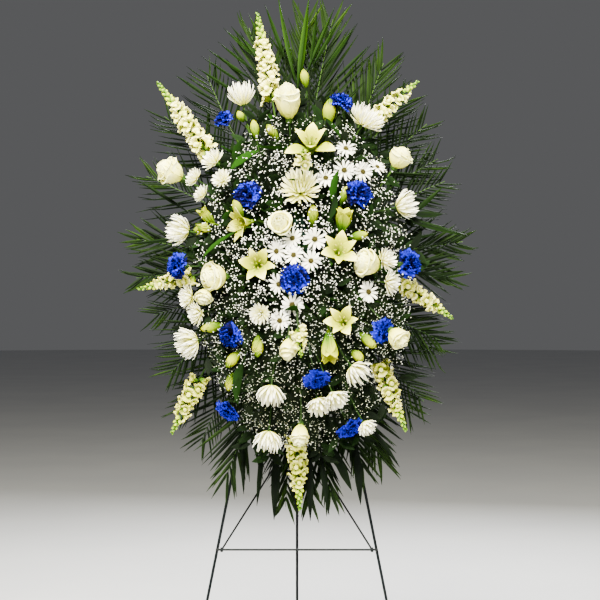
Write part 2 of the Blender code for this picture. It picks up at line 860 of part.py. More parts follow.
def frond(spray, number, name, entry, tip, bow, longest):
    """A palm frond cut in one outline: a rib, and leaflets down to it on both sides."""
    layer = number % FROND_LAYERS
    depth = FROND_FIRST_LAYER + layer * FROND_LAYER
    door = Vector((entry[0] * MM, entry[1] * MM))
    shown = seen(tip[0] * MM, tip[1] * MM, depth)
    end = Vector((shown.x, shown.z))
    way = (end - door).normalized()
    side = Vector((-way.y, way.x))
    inner = door - way * STEM_DEPTH
    length = (end - inner).length

    def spot(along):
        bowed = math.sin(math.pi * along) * bow * MM
        return inner + way * length * along + side * bowed

    first, last = 0.30, 0.84
    stations = [0.0, 0.16]
    stations += [first + (last - first) * i / FROND_PAIRS for i in range(FROND_PAIRS + 1)]
    left, right, left_tips, right_tips = [], [], [], []
    for along in stations:
        half = RACHIS_WIDTH / 2 * (1 - 0.5 * along)
        left.append(spot(along) + side * half)
        right.append(spot(along) - side * half)
    for i in range(FROND_PAIRS):
        share = (i + 0.5) / FROND_PAIRS
        along = first + (last - first) * share
        reach = longest * MM * (0.62 + 0.38 * math.sin(math.pi * min(1.0, share * 1.25)))
        reach *= 1 - 0.35 * share**3
        open_by = math.radians(54 - 30 * share)
        for tips, sign in ((left_tips, 1), (right_tips, -1)):
            ahead = way * math.cos(open_by) + side * sign * math.sin(open_by)
            tips.append(spot(along) + ahead * reach)
    outline = left + right + left_tips + right_tips + [end]
    count = len(stations)
    tip_row = 2 * count
    faces = []
    for i in range(count - 1):
        a, b, c, d = i, i + 1, count + i + 1, count + i
        faces += [(a, d, c), (a, c, b)]
    for i in range(FROND_PAIRS):
        a = 2 + i
        faces.append((a, a + 1, tip_row + i))
        faces.append((count + a + 1, count + a, tip_row + FROND_PAIRS + i))
    faces.append((count - 1, 2 * count - 1, len(outline) - 1))
    corners = []
    for back in (False, True):
        for i, p in enumerate(outline):
            on_rib = i < tip_row
            thick = RACHIS_THICK * (1 - 0.7 * stations[i % count]) if on_rib else BLADE
            lift = 0.0 if on_rib else 0.0014 * (-1) ** i
            forward = frond_depth(p, layer) + lift + (-thick if back else thick) / 2
            corners.append(Vector((p.x, -forward, p.y)))
    turned = [(c + len(outline), b + len(outline), a + len(outline)) for a, b, c in faces]
    edges = {}
    for face in faces:
        for a, b in zip(face, face[1:] + face[:1]):
            edges[(a, b)] = True
    walls = []
    for a, b in edges:
        if (b, a) not in edges:
            walls += [
                (b, a, a + len(outline)),
                (b, a + len(outline), b + len(outline)),
            ]
    everything = faces + turned + walls
    shape = (corners, everything, [0] * len(everything))
    mesh_object("palm_frond_" + name, shape, ("palm",), spray)
    thick = RACHIS_THICK / 2 + FROND_ROOM
    wide = RACHIS_WIDTH / 2 + FROND_ROOM
    rib = (spot(stations[1]) - inner).normalized()
    across = Vector((-rib.y, rib.x))
    rings = []
    for p in (inner - rib * 0.001, inner + rib * (STEM_DEPTH + 0.014)):
        rings.append(
            [
                Vector((q.x, -(depth + lift), q.y))
                for q, lift in (
                    (p + across * wide, thick),
                    (p - across * wide, thick),
                    (p - across * wide, -thick),
                    (p + across * wide, -thick),
                )
            ]
        )
    return ring_stack(rings)


def outward(shape):
    """The same shape with its faces turned to point out, if they point in."""
    corners, faces, marks = shape
    volume = sum(corners[a].dot(corners[b].cross(corners[c])) for a, b, c in faces)
    if volume < 0:
        faces = [(c, b, a) for a, b, c in faces]
    return corners, faces, marks


def cage_shell():
    """The outer block of the cage, and the cutters that leave its bars: the inside, then windows."""
    inner = (FOAM_HALF_X + GAP, FOAM_HALF_Z + GAP)
    outer = (inner[0] + CAGE_WIRE, inner[1] + CAGE_WIRE)
    front = FOAM_FRONT + GAP
    back = FOAM_BACK - GAP
    over = 0.001
    shell = box((-outer[0], -front - CAGE_WIRE, -outer[1]), (outer[0], -CAGE_BACK, outer[1]))
    cutters = [box((-inner[0], -front, -inner[1]), (inner[0], -back, inner[1]))]
    wide = (over - inner[0], inner[0] - over)
    for low, high in zip(CAGE_HOOPS, CAGE_HOOPS[1:]):
        low, high = low + CAGE_WIRE / 2, high - CAGE_WIRE / 2
        cutters.append(box((wide[0], -front - 0.01, low), (wide[1], -front + over, high)))
        cutters.append(
            box((-outer[0] - over, -front + over, low), (outer[0] + over, -CAGE_RIM, high))
        )
    cutters.append(
        box((wide[0], -front + over, -outer[1] - over), (wide[1], -CAGE_RIM, outer[1] + over))
    )
    for low, high in zip(CAGE_RIBS, CAGE_RIBS[1:]):
        low, high = low + CAGE_RIB / 2, high - CAGE_RIB / 2
        cutters.append(box((wide[0], -back - over, low), (wide[1], over - CAGE_BACK, high)))
    return shell, cutters


def foam_and_cage(spray, holes):
    block = box((-FOAM_HALF_X, -FOAM_FRONT, -FOAM_HALF_Z), (FOAM_HALF_X, -FOAM_BACK, FOAM_HALF_Z))
    foam = mesh_object("floral_foam", block, ("foam",), spray)
    notches = [
        box(
            (TIE_X - 0.002, -FOAM_BACK - 0.004, z - 0.006),
            (TIE_X + 0.002, -FOAM_BACK + 0.001, z + 0.006),
        )
        for z in (UPPER_BAR_Z, MIDDLE_BAR_Z)
    ]
    combine(foam, [outward(hole) for hole in holes + notches], ("foam",), "DIFFERENCE")
    shell, cutters = cage_shell()
    cage = mesh_object("foam_cage", shell, ("cage",), spray)
    combine(cage, cutters, ("cage",), "DIFFERENCE")


def tie(name, spray, z):
    """A wire loop with cut corners round a crossbar and the cage's rib in front of it."""
    bar_y = -(LEG_RADIUS + BAR_RADIUS + GAP)
    back = bar_y + BAR_RADIUS + GAP + TIE_RADIUS
    front = -(FOAM_BACK - GAP) - GAP - TIE_RADIUS
    high = BAR_RADIUS + GAP + TIE_RADIUS
    cut = TIE_RADIUS
    side = Vector((1, 0, 0))
    rings = []
    for y, up, end, over in (
        (back, 1, -1, 0),
        (back, 1, 0, -1),
        (back, -1, 0, -1),
        (back, -1, -1, 0),
        (front, -1, 1, 0),
        (front, -1, 0, -1),
        (front, 1, 0, -1),
        (front, 1, 1, 0),
    ):
        point = Vector((TIE_X, y + end * cut, z + up * (high + over * cut)))
        out = Vector((0, 1 if y == back else -1, up)).normalized()
        wire = [(out * math.cos(a) + side * math.sin(a)) * TIE_RADIUS for a in TIE_TURNS]
        rings.append([point + p for p in wire])
    corners, faces, marks = ring_stack(rings + rings[:1])
    count = len(TIE_TURNS)
    around = len(rings) * count
    faces = [tuple(c % around for c in face) for face in faces[: 2 * around]]
    mesh_object(name, outward((corners[:around], faces, marks[: len(faces)])), ("tie",), spray)


def leg_x(z):
    """Half the distance between the front legs' axes at height z along the frame."""
    top = EASEL_LENGTH - SPRAY_HEIGHT / math.cos(LEAN)
    slope = (LOWER_BAR_HALF - LEG_APART_AT_TOP / 2) / (top - LOWER_BAR_Z)
    return LEG_APART_AT_TOP / 2 + slope * (top - z)


def front_frame(spray):
    """Two legs cut flat at the floor, and the crossbars welded across their front."""
    top = EASEL_LENGTH - SPRAY_HEIGHT / math.cos(LEAN)
    floor = -SPRAY_HEIGHT / math.cos(LEAN)
    for name, sign in (("left", -1), ("right", 1)):
        start = Vector((sign * leg_x(floor), 0, floor))
        end = Vector((sign * leg_x(top), 0, top))
        leg = tube([start, end], [LEG_RADIUS] * 2, BAR_SIDES)
        way = (end - start).normalized()
        level = spray.matrix_world
        run = level.to_3x3() @ way
        for i in range(BAR_SIDES):
            point = level @ leg[0][i]
            leg[0][i] = leg[0][i] - way * (point.z / run.z)
        mesh_object("front_leg_" + name, leg, ("easel",), spray)
    bar_y = -(LEG_RADIUS + BAR_RADIUS + GAP)
    for name, z in (("lower", LOWER_BAR_Z), ("middle", MIDDLE_BAR_Z), ("upper", UPPER_BAR_Z)):
        half = leg_x(z) + LEG_RADIUS
        ends = [Vector((-half, bar_y, z)), Vector((half, bar_y, z))]
        bar = tube(ends, [BAR_RADIUS] * 2, BAR_SIDES)
        mesh_object(name + "_crossbar", bar, ("easel",), spray)
    half = leg_x(top - HINGE_BELOW_TOP) + LEG_RADIUS
    y = LEG_RADIUS + HINGE_RADIUS + GAP
    z = top - HINGE_BELOW_TOP
    pin = tube([Vector((-half, y, z)), Vector((half, y, z))], [HINGE_RADIUS] * 2, BAR_SIDES)
    mesh_object("hinge_bar", pin, ("easel",), spray)


def eye(radius, width, x=0.0):
    """A ring round the X axis with its hole: outer wall, hole and two flat sides."""
    sides = EYE_SIDES
    rings = []
    for reach, side in (
        (radius + GAP, -0.5),
        (radius + GAP + EYE_WALL, -0.5),
        (radius + GAP + EYE_WALL, 0.5),
        (radius + GAP, 0.5),
    ):
        bend = 1 / math.cos(math.pi / sides)
        rings.append(
            [
                Vector((x + side * width, reach * bend * math.cos(a), reach * bend * math.sin(a)))
                for a in (2 * math.pi * i / sides for i in range(sides))
            ]
        )
    corners = [p for ring in rings for p in ring]
    faces = []
    for i in range(4):
        for j in range(sides):
            a = i * sides + j
            b = i * sides + (j + 1) % sides
            c = (i + 1) % 4 * sides + (j + 1) % sides
            d = (i + 1) % 4 * sides + j
            faces += [(a, b, c), (a, c, d)]
    return outward((corners, faces, [0] * len(faces)))


def linkage(spray):
    """The side view of the fold: hinge and stay axes in the world, and both parts' angles when open."""
    top = EASEL_LENGTH - SPRAY_HEIGHT / math.cos(LEAN)
    hinge = spray.matrix_world @ Vector((0, LEG_RADIUS + HINGE_RADIUS + GAP, top - HINGE_BELOW_TOP))
    pivot = spray.matrix_world @ Vector((0, -(LEG_RADIUS + BAR_RADIUS + GAP), LOWER_BAR_Z))
    apart = (pivot - hinge).length
    frame_slope = math.atan2(hinge.y - pivot.y, hinge.z - pivot.z)
    behind = LEG_RADIUS + BAR_RADIUS + GAP

    def stay_angle(leg_angle):
        return math.asin((apart * math.sin(leg_angle) + behind) / STAY_LENGTH) - leg_angle

    opened = BACK_LEG_SLOPE + frame_slope
    return hinge, pivot, opened, stay_angle(opened), stay_angle(FOLDED_ANGLE), frame_slope, apart


def back_leg_and_stay(spray):
    """The back leg on its hinge bar, and the stay's two arms on the lower crossbar."""
    hinge, pivot, opened, stay_open, _, frame_slope, apart = linkage(spray)
    leg_axis = bpy.data.objects.new("back_leg_axis", None)
    stay_axis = bpy.data.objects.new("stay_axis", None)
    for axis, point in ((leg_axis, hinge), (stay_axis, pivot)):
        bpy.context.scene.collection.objects.link(axis)
        axis.location = point
    way = Vector((0, math.sin(BACK_LEG_SLOPE), -math.cos(BACK_LEG_SLOPE)))
    start = way * (HINGE_RADIUS + GAP + EYE_WALL * 0.5)
    leg = tube([way * (hinge.z / -way.z), start], [LEG_RADIUS] * 2, BAR_SIDES)
    for i in range(BAR_SIDES):
        leg[0][i] = leg[0][i] - way * ((leg[0][i].z + hinge.z) / way.z)
    along = apart * math.cos(opened) - STAY_LENGTH * math.cos(opened + stay_open)
    behind = Vector((0, math.cos(BACK_LEG_SLOPE), math.sin(BACK_LEG_SLOPE)))
    stop_at = way * (along + 2 * BAR_RADIUS + GAP)
    stop = tube([stop_at, stop_at + behind * STOP_LENGTH], [BAR_RADIUS] * 2, BAR_SIDES)
    ring = eye(HINGE_RADIUS, BACK_EYE_WIDTH)
    fused("back_leg", [leg, ring, stop], ("easel",), leg_axis)
    tilt = stay_open + frame_slope
    up = Vector((0, math.sin(tilt), math.cos(tilt)))
    for name, sign in (("left", -1), ("right", 1)):
        x = sign * STAY_EYE_X
        ring_out = BAR_RADIUS + GAP + EYE_WALL * 0.5
        lean_in = Vector((sign * STAY_HOOK_X, 0, 0)) + up * STAY_LENGTH - Vector((x, 0, 0))
        start = Vector((x, 0, 0)) + lean_in.normalized() * ring_out
        path = [
            start,
            Vector((sign * STAY_HOOK_X, 0, 0)) + up * STAY_LENGTH,
            Vector((sign * GAP / 2, 0, 0)) + up * STAY_LENGTH,
        ]
        arm = tube(path, [BAR_RADIUS] * 3, BAR_SIDES)
        ring = eye(BAR_RADIUS, EYE_WIDTH, x)
        fused("stay_arm_" + name, [arm, ring], ("easel",), stay_axis)


def sprig(draw, hub, end):
    """A zigzag twig from hub with a floret at each turn, all in one closed shape."""
    way = (end - hub).normalized()
    first = hub + (end - hub) * 0.62
    turns = [hub, first]
    for i in range(FLORETS_A_SPRIG):
        side = Vector([draw.uniform(-1, 1) for _ in range(3)])
        side -= way * side.dot(way)
        share = (i + 0.6) / FLORETS_A_SPRIG
        turns.append(first.lerp(end, share) + side.normalized() * SPRIG_SWAY * share**0.5)
    rings = [[turns[0] + p for p in square_to(way, circle(3, TWIG_RADIUS * 1.3))]]
    slots = [0]
    for low, high in zip(turns[1:], turns[2:]):
        ahead = (high - low).normalized()
        rings.append([low + p for p in square_to(ahead, circle(3, TWIG_RADIUS))])
        near = high - ahead * FLORET_RADIUS
        rings.append([near + p for p in square_to(ahead, circle(3, TWIG_RADIUS))])
        rings.append([high + p for p in square_to(ahead, circle(4, FLORET_RADIUS))])
        slots += [0, 0, 1]
    far = turns[-1] + (turns[-1] - turns[-2]).normalized() * FLORET_RADIUS
    return ring_stack(rings, None, far, (*slots, 1))


def square_to(way, ring):
    turned = way.to_track_quat("Z", "Y").to_matrix()
    return [turned @ p for p in ring]


def babys_breath(spray, room, draw):
    """Sprays of tiny white florets on thin twigs, set in what room the flowers leave."""
    for node, (place, _, _) in BREATH.items():
        room.take(node, None, trunk(place))
    for node, (place, middle, half) in BREATH.items():
        hub = hub_point(place)
        shapes = [trunk(place)]
        for _ in range(BREATH_TRIES):
            if len(shapes) > BREATH_SPRIGS:
                break
            across = (middle[0] + draw.uniform(-half[0], half[0])) * MM
            up = (middle[1] + draw.uniform(-half[1], half[1])) * MM
            end = seen(across, up, dome(across, up) + draw.uniform(-0.03, 0.012))
            shape = sprig(draw, hub, end)
            clear = sprig_test(shape, hub)
            if not room.is_free(node, -1, clear):
                continue
            room.take(node, len(shapes), shape)
            shapes.append(shape)
        fused(node, shapes, PETALS["babys"], spray)


def sprig_test(shape, hub):
    """The sprig without its first few millimetres, which stand in the bunch."""
    corners, faces, marks = shape
    start = sum(corners[3:6], Vector()) / 3
    way = (start - hub).normalized() * 0.006
    return [p + way if i < 3 else p for i, p in enumerate(corners)], faces, marks


def main():
    clear_scene()
    draw = random.Random(SEED)
    spray = bpy.data.objects.new("spray", None)
    bpy.context.scene.collection.objects.link(spray)
    spray.location = (0, SPRAY_BACK, SPRAY_HEIGHT)
    spray.rotation_euler = (-LEAN, 0, 0)
    bpy.context.view_layer.update()
    front_frame(spray)
    back_leg_and_stay(spray)
    tie("upper_tie", spray, UPPER_BAR_Z)
    tie("lower_tie", spray, MIDDLE_BAR_Z)
    room = Room()
    holes = [frond(spray, number, *values) for number, values in enumerate(FRONDS)]
    holes += spikes(spray, room)
    room.take("foam_cage", None, cage_shell()[0])
    bunches(spray, room, draw)
    babys_breath(spray, room, draw)
    for place, *_ in (*BUNCHES.values(), *BREATH.values()):
        holes.append(trunk(place, TRUNK_ROOM))
    foam_and_cage(spray, holes)


main()
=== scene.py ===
"""Looks of a standing funeral spray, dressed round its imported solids.

Metres, +Z up, the flowers face -Y. Flowers, fronds and twigs are placed in the spray's own coordinates,
which lean back with the easel: x across, y towards the back, z up along the frame, from the middle of
the oval. Petals and leaves are modelled once each, standing along +Z with their inner face towards +Y,
and every copy is laid into the piece that it belongs to.
"""

import math
import random

import bmesh
import bpy
import numpy as np
from mathutils import Matrix, Vector


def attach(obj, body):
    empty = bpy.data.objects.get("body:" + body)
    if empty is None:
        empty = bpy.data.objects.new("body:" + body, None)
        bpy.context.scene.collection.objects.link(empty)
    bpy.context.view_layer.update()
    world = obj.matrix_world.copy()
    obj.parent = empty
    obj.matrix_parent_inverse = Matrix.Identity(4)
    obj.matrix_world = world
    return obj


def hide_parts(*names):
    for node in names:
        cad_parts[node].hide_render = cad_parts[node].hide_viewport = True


MM = 0.001

# The spray and its easel
LEAN = math.radians(10)
SPRAY_HEIGHT = 1.275
SPRAY_BACK = 0.0577
EASEL_LENGTH = 1.524
LEG_RADIUS = 0.0035
BAR_RADIUS = 0.0025
HINGE_RADIUS = 0.0020
GAP = 0.0003
LOWER_BAR_Z = -0.713
UPPER_BAR_Z = 0.072
MIDDLE_BAR_Z = -0.072
FOAM_FRONT = 0.104
STEM_DEPTH = 0.026
HUB_DEPTH = 0.118

# The photograph's view, and how the flowers stand: as seen from there, on a dome
VIEW_DISTANCE = 3.5
VIEW_DROP = 0.100
VIEW_WIDTH = 1.5
VIEW_SHIFT = 0.0075
SENSOR = 36.0
DOME_HALF_X = 0.36
DOME_HALF_Z = 0.56
DOME_EDGE = 0.112
DOME_RISE = 0.115
FAN_HALF_X = 0.33
FAN_HALF_Z = 0.50
FAN_OUT = 1.4
RAISE_STEP = 0.004
RAISE_STEPS = 24
SEED = 11

# Palm fronds: where each enters the foam, its tip as seen, how far its middle is bowed, longest leaflet (mm)
FROND_FIRST_LAYER = 0.022
FROND_LAYER = 0.008
FROND_LAYERS = 5
FROND_CUP = 0.006
FRONDS = (
    ("right", (58, 8), (432, 52), -10, 170),
    ("right_upper", (58, 26), (385, 205), 10, 160),
    ("upper_right", (58, 62), (338, 352), 12, 165),
    ("top_right", (22, 115), (95, 632), 14, 215),
    ("top_left", (-24, 115), (-126, 608), -10, 175),
    ("upper_left", (-58, 66), (-345, 372), -14, 175),
    ("left", (-58, 12), (-418, 58), 10, 172),
    ("left_lower", (-58, -22), (-372, -142), 10, 150),
    ("lower_left", (-58, -76), (-304, -396), 10, 165),
    ("bottom_left", (-38, -115), (-188, -572), 10, 175),
    ("bottom", (-12, -115), (-30, -640), 6, 150),
    ("bottom_right", (14, -115), (92, -622), -8, 165),
    ("lower_right", (40, -115), (228, -528), -10, 165),
    ("right_lower", (58, -70), (330, -366), -10, 165),
    ("right_down", (58, -50), (372, -206), -8, 160),
)

# More fronds between those, a step behind them
FRONDS_BEHIND = (
    ("behind_top", (4, 115), (22, 640), -8, 190),
    ("behind_top_right", (40, 115), (222, 512), -14, 190),
    ("behind_top_left", (-46, 115), (-232, 478), 12, 180),
    ("behind_left_upper", (-58, 30), (-392, 218), -12, 175),
    ("behind_left", (-58, 0), (-420, -44), 8, 162),
    ("behind_left_lower", (-58, -50), (-330, -300), -10, 170),
    ("behind_lower_left", (-50, -100), (-250, -480), -10, 165),
    ("behind_bottom", (2, -115), (36, -640), -8, 150),
    ("behind_lower_right", (30, -115), (172, -550), 10, 165),
    ("behind_right_lower", (58, -80), (300, -410), 10, 160),
    ("behind_right_down", (58, -40), (366, -246), 10, 160),
    ("behind_right", (58, -6), (406, -50), 8, 165),
    ("behind_right_upper", (58, 36), (366, 262), 12, 165),
    ("behind_upper_right", (50, 90), (288, 420), 10, 175),
)

# Long single blades among the fronds and the flowers: base and tip as seen, width (mm), tone, finish; the blades' tone
# is painted light and shade, lighter up top and darker for those that hang low
LONG_BLADES = (
    (-2, 440, -51, 646, 13, 0.45, "blade"),
    (1, 420, 27, 650, 17, 0.48, "blade"),
    (30, 450, 51, 630, 9, 0.30, "blade"),
    (22, 462, 90, 625, 10, 0.39, "blade"),
    (37, 480, 102, 592, 9, 0.33, "blade"),
    (70, 480, 137, 567, 9, 0.33, "blade"),
    (95, 450, 175, 530, 9, 0.24, "blade"),
    (-30, 500, -77, 632, 10, 0.33, "blade"),
    (-82, 530, -120, 612, 5, 0.48, "blade"),
    (-70, 480, -142, 555, 11, 0.36, "blade"),
    (-98, 502, -182, 574, 8, 0.34, "blade"),
    (-104, 470, -196, 541, 7, 0.28, "blade"),
    (-112, 450, -221, 523, 8, 0.32, "blade"),
    (-122, 432, -237, 505, 7, 0.26, "blade"),
    (-140, 410, -247, 477, 8, 0.24, "blade"),
    (-205, 396, -300, 459, 9, 0.18, "blade"),
    (262, 106, 425, 55, 16, 0.21, "blade"),
    (245, 44, 365, 67, 8, 0.15, "blade"),
    (287, 115, 362, 112, 16, 0.12, "blade"),
    (285, 110, 362, 182, 12, 0.27, "blade"),
    (300, -10, 400, 17, 9, 0.03, "blade"),
    (300, -28, 382, -45, 9, 0.06, "blade"),
    (-268, 118, -398, 200, 9, 0.15, "blade"),
    (-250, 60, -412, 36, 11, 0.12, "blade"),
    (-50, -470, -57, -650, 22, -0.20, "blade"),
    (-85, -460, -100, -615, 13, -0.10, "blade"),
    (-135, -440, -135, -585, 13, -0.10, "blade"),
    (30, -480, 35, -652, 19, -0.20, "blade"),
    (60, -480, 77, -637, 15, -0.10, "blade"),
    (90, -470, 137, -577, 22, 0.00, "blade"),
    (148, -460, 160, -612, 20, -0.20, "blade"),
    (-8, -470, 3, -636, 26, -0.20, "blade"),
    (188, -420, 258, -516, 12, -0.10, "blade"),
    (-150, 236, -136, 302, 20, 0.05, "leaf"),
    (-165, 226, -92, 272, 20, 0.75, "leaf"),
    (-186, 88, -160, 126, 13, 0.15, "leaf"),
    (96, 166, 76, 92, 15, -0.1, "leaf"),
    (70, 356, 108, 300, 14, 0.10, "leaf"),
)

# Snapdragons round the rim: foam entry, lowest floret and tip as seen (mm), the spike's radius and depth,
# and how far its florets are painted darker and greener as shade
SPIKE_ENTRY_DEPTH = 0.066
SPIKES = (
    ("top", (-22, 115), (-62, 404), (-100, 622), 33, 104, 0.0),
    ("upper_left", (-46, 115), (-226, 272), (-350, 446), 33, 106, 0.0),
    ("upper_right", (46, 115), (196, 356), (304, 448), 29, 106, 0.0),
    ("left", (-58, -8), (-262, -40), (-400, -74), 27, 102, 0.2),
    ("right", (58, -16), (262, -58), (392, -148), 29, 102, 0.2),
    ("lower_left", (-58, -60), (-246, -300), (-314, -436), 30, 102, 1.1),
    ("lower_right", (58, -86), (206, -262), (274, -430), 31, 102, 0.4),
    ("bottom", (4, -115), (-2, -444), (8, -628), 31, 100, 0.7),
)

# Bunches: where the stems part in front of the foam, then each head: kind, place as seen, radius (mm),
# how far it turns from the viewer and, where it isn't straight outwards, which way (degrees)
BUNCHES = {
    "carnations_upper_left": (
        (-44, 54),
        (
            ("carnation", -185, 355, 22, 0.8),
            ("carnation", -125, 165, 34, 0.6),
            ("carnation", -302, -15, 30, 1.1),
        ),
    ),
    "carnations_upper_right": (
        (46, 56),
        (
            ("carnation", 112, 398, 28, 0.9),
            ("carnation", 158, 170, 32, 0.7),
            ("carnation", 285, -10, 34, 1.1),
        ),
    ),
    "carnations_lower_left": (
        (-26, -22),
        (
            ("carnation", -168, -190, 29, 0.9),
            ("carnation", -176, -380, 30, 1.7),
            ("carnation", -5, -48, 34, 0.5),
        ),
    ),
    "carnations_lower_right": (
        (22, -68),
        (
            ("carnation", 218, -178, 29, 1.1),
            ("carnation", 135, -424, 31, 1.7),
            ("carnation", 50, -302, 31, 1.5),
        ),
    ),
    "roses_upper_left": (
        (-20, 66),
        (
            ("rose", -22, 388, 36, 0.9),
            ("rose", -310, 218, 34, 0.4),
            ("rose", -40, 88, 27, 0.5),
        ),
    ),
    "roses_right": (
        (48, 6),
        (
            ("rose", 255, 250, 28, 1.2, 55),
            ("rose", 182, -10, 32, 0.9, 170),
            ("rose", 250, -190, 27, 1.6, -50),
        ),
    ),
    "roses_lower_left": (
        (-14, -58),
        (
            ("rose", -202, -42, 32, 0.8, 190),
            ("rose", -232, -88, 20, 1.4, 260),
            ("rose", -22, -218, 22, 2.0, -92),
            ("rose", 8, -432, 26, 2.4, -94),
        ),
    ),
    "mums_upper_left": (
        (-44, 86),
        (
            ("mum", -138, 412, 34, 2.0, 100),
            ("small_mum", -210, 250, 31, 0.8),
            ("small_mum", -258, 206, 25, 1.0),
            ("small_mum", -188, 203, 25, 0.5),
            ("small_mum", -238, 166, 23, 1.2),
        ),
    ),
    "mums_upper_right": (
        (22, 82),
        (
            ("mum", 8, 180, 46, 0.4),
            ("mum", 172, 350, 44, 0.7),
            ("mum", 272, 138, 34, 1.3, 10),
        ),
    ),
    "mums_left": (
        (-48, -14),
        (
            ("mum", -295, 75, 36, 1.1, 178),
            ("small_mum", -272, -94, 30, 1.1),
            ("small_mum", -250, -134, 28, 1.0),
            ("mum", -272, -208, 36, 1.2, 200),
            ("small_mum", -92, -135, 26, 0.6),
        ),
    ),
    "mums_right": (
        (46, -52),
        (
            ("small_mum", 224, 0, 30, 1.0, 10),
            ("small_mum", 234, -56, 30, 1.1),
            ("mum", 152, -282, 32, 1.5),
            ("small_mum", 176, -420, 24, 1.5),
        ),
    ),
    "mums_bottom": (
        (-12, -90),
        (
            ("mum", -66, -336, 32, 2.0, -96),
            ("mum", -72, -452, 33, 2.2, -94),
            ("small_mum", 56, -366, 30, 1.4),
            ("small_mum", 98, -350, 30, 1.4),
        ),
    ),
    "daisies_centre": (
        (-14, 2),
        (
            ("daisy", -10, 54, 24, 0.5),
            ("daisy", -50, 22, 24, 0.5),
            ("daisy", -8, 12, 24, 0.4),
            ("daisy", 45, 52, 26, 0.5),
            ("daisy", 36, -2, 24, 0.5),
            ("daisy", -46, -60, 23, 0.7),
            ("daisy", -12, -112, 26, 0.6),
            ("daisy", -42, -152, 24, 0.7),
        ),
    ),
    "daisies_right": (
        (20, 54),
        (
            ("daisy", 178, -80, 25, 0.6),
            ("daisy", 122, 278, 24, 0.6),
            ("daisy", 118, 224, 25, 0.6),
            ("daisy", 72, 204, 24, 0.5),
            ("daisy", 164, 220, 24, 0.6),
            ("daisy", 200, 232, 22, 0.7),
        ),
    ),
    "lilies_top": (
        (-12, 92),
        (
            ("lily", 35, 302, 46, 0.9, 95),
            ("bud", -140, 358, 11, 1.6),
            ("bud", -105, 325, 11, 3.0, 100),
            ("bud", -60, 318, 11, 1.8, 130),
            ("bud", 20, 452, 11, 2.0, 100),
            ("bud", 80, 366, 17, 2.4, 85),
            ("leaf", -120, 250, 75, 3.0, 150),
            ("leaf", -20, 280, 80, 3.0, 175),
        ),
    ),
    "lilies_left": (
        (-46, 20),
        (
            ("lily", -100, -10, 43, 0.3),
            ("lily", -146, 90, 38, 1.6, 200),
            ("bud", -146, 126, 12, 1.2, 120),
            ("bud", -228, 112, 12, 2.2, 130),
            ("bud", -232, 80, 12, 2.4, 190),
            ("leaf", -150, 72, 105, 3.0, 216),
        ),
    ),
    "lilies_right": (
        (26, -8),
        (
            ("lily", 108, 28, 43, 0.5, 60),
            ("trumpet", 118, 108, 36, 1.7, 80),
            ("lily", 112, -152, 41, 0.6, 150),
            ("trumpet", 82, -228, 36, 2.4, -88),
            ("bud", 40, 108, 13, 1.6, 88),
            ("bud", 152, 60, 11, 3.0, 10),
            ("bud", 118, 160, 11, 2.0, 70),
            ("bud", 176, -200, 13, 2.4, -45),
            ("bud", 150, -238, 12, 1.0),
            ("leaf", 92, 140, 85, 3.0, 80),
        ),
    ),
    "lily_buds_lower_left": (
        (-44, -60),
        (
            ("bud", -210, -168, 13, 3.0, 192),
            ("bud", -98, -214, 14, 2.0, -90),
            ("bud", -166, -302, 12, 2.4, -100),
            ("bud", -158, -246, 13, 2.4, 235),
            ("leaf", -132, -250, 110, 3.2, 262),
        ),
    ),
    "snapdragon_middle": ((46, 86), (("spikelet", 14, 236, 30, 0.6),)),
    "snapdragon_low": ((14, -56), (("spikelet", 4, -176, 24, 2.2, -84),)),
}

# Baby's breath: where each spray's stems part, then its clouds as seen: middle and half size (mm), sprigs
BREATH = {
    "babys_breath_upper_left": (
        (-24, 26),
        (
            ((-90, 190), (120, 70), 30),
            ((-150, 60), (95, 100), 26),
            ((-95, 300), (80, 60), 12),
            ((-20, 130), (70, 60), 18),
        ),
    ),
    "babys_breath_upper_right": (
        (24, 26),
        (
            ((80, 250), (90, 80), 24),
            ((180, 200), (90, 110), 28),
            ((150, 60), (100, 90), 24),
            ((60, 340), (60, 60), 8),
        ),
    ),
    "babys_breath_lower_right": (
        (14, -22),
        (
            ((90, -90), (100, 80), 28),
            ((180, -260), (90, 110), 30),
            ((40, -250), (80, 110), 22),
            ((120, -400), (90, 60), 14),
        ),
    ),
    "babys_breath_lower_left": (
        (-30, -88),
        (
            ((-110, -80), (100, 80), 26),
            ((-110, -230), (110, 90), 28),
            ((-130, -350), (90, 70), 18),
            ((-40, -390), (60, 70), 12),
        ),
    ),
}

# How a head's outermost points lie on its solid, as shares of its radius: out from its axis, along it,
# and their angle; and where its stem ends
MARKS = {
    "carnation": ((1.00, 0.12, 0.0), 7, -0.98),
    "rose": ((1.00, 0.44, 0.0), 5, -0.88),
    "mum": ((1.00, 0.16, 0.0), 8, -0.36),
    "small_mum": ((1.00, 0.14, 0.0), 7, -0.34),
    "daisy": ((1.00, 0.12, 0.0), 8, -0.32),
    "lily": ((1.00, 0.26, 0.0), 6, -1.20),
    "trumpet": ((1.00, 0.26, 0.0), 6, -1.20),
    "bud": ((0.80, 0.90, 0.0), 2, -2.20),
    "spikelet": ((0.98, 0.31, 0.0), 4, 0.0),
    "leaf": ((0.12, 1.00, -90.0), 1, 0.0),
}


# How much further each kind of bloom tips away from the viewer than its solid does
TIPPED = {"carnation": 1.5, "rose": 1.7, "mum": 1.8, "small_mum": 1.4}

# From these turns on, chrysanthemums and carnations are seen from the side: cups and flat ruffs
CUPPED_FROM = {"mum": 1.0, "small_mum": 1.35}
FLAT_FROM = 1.4

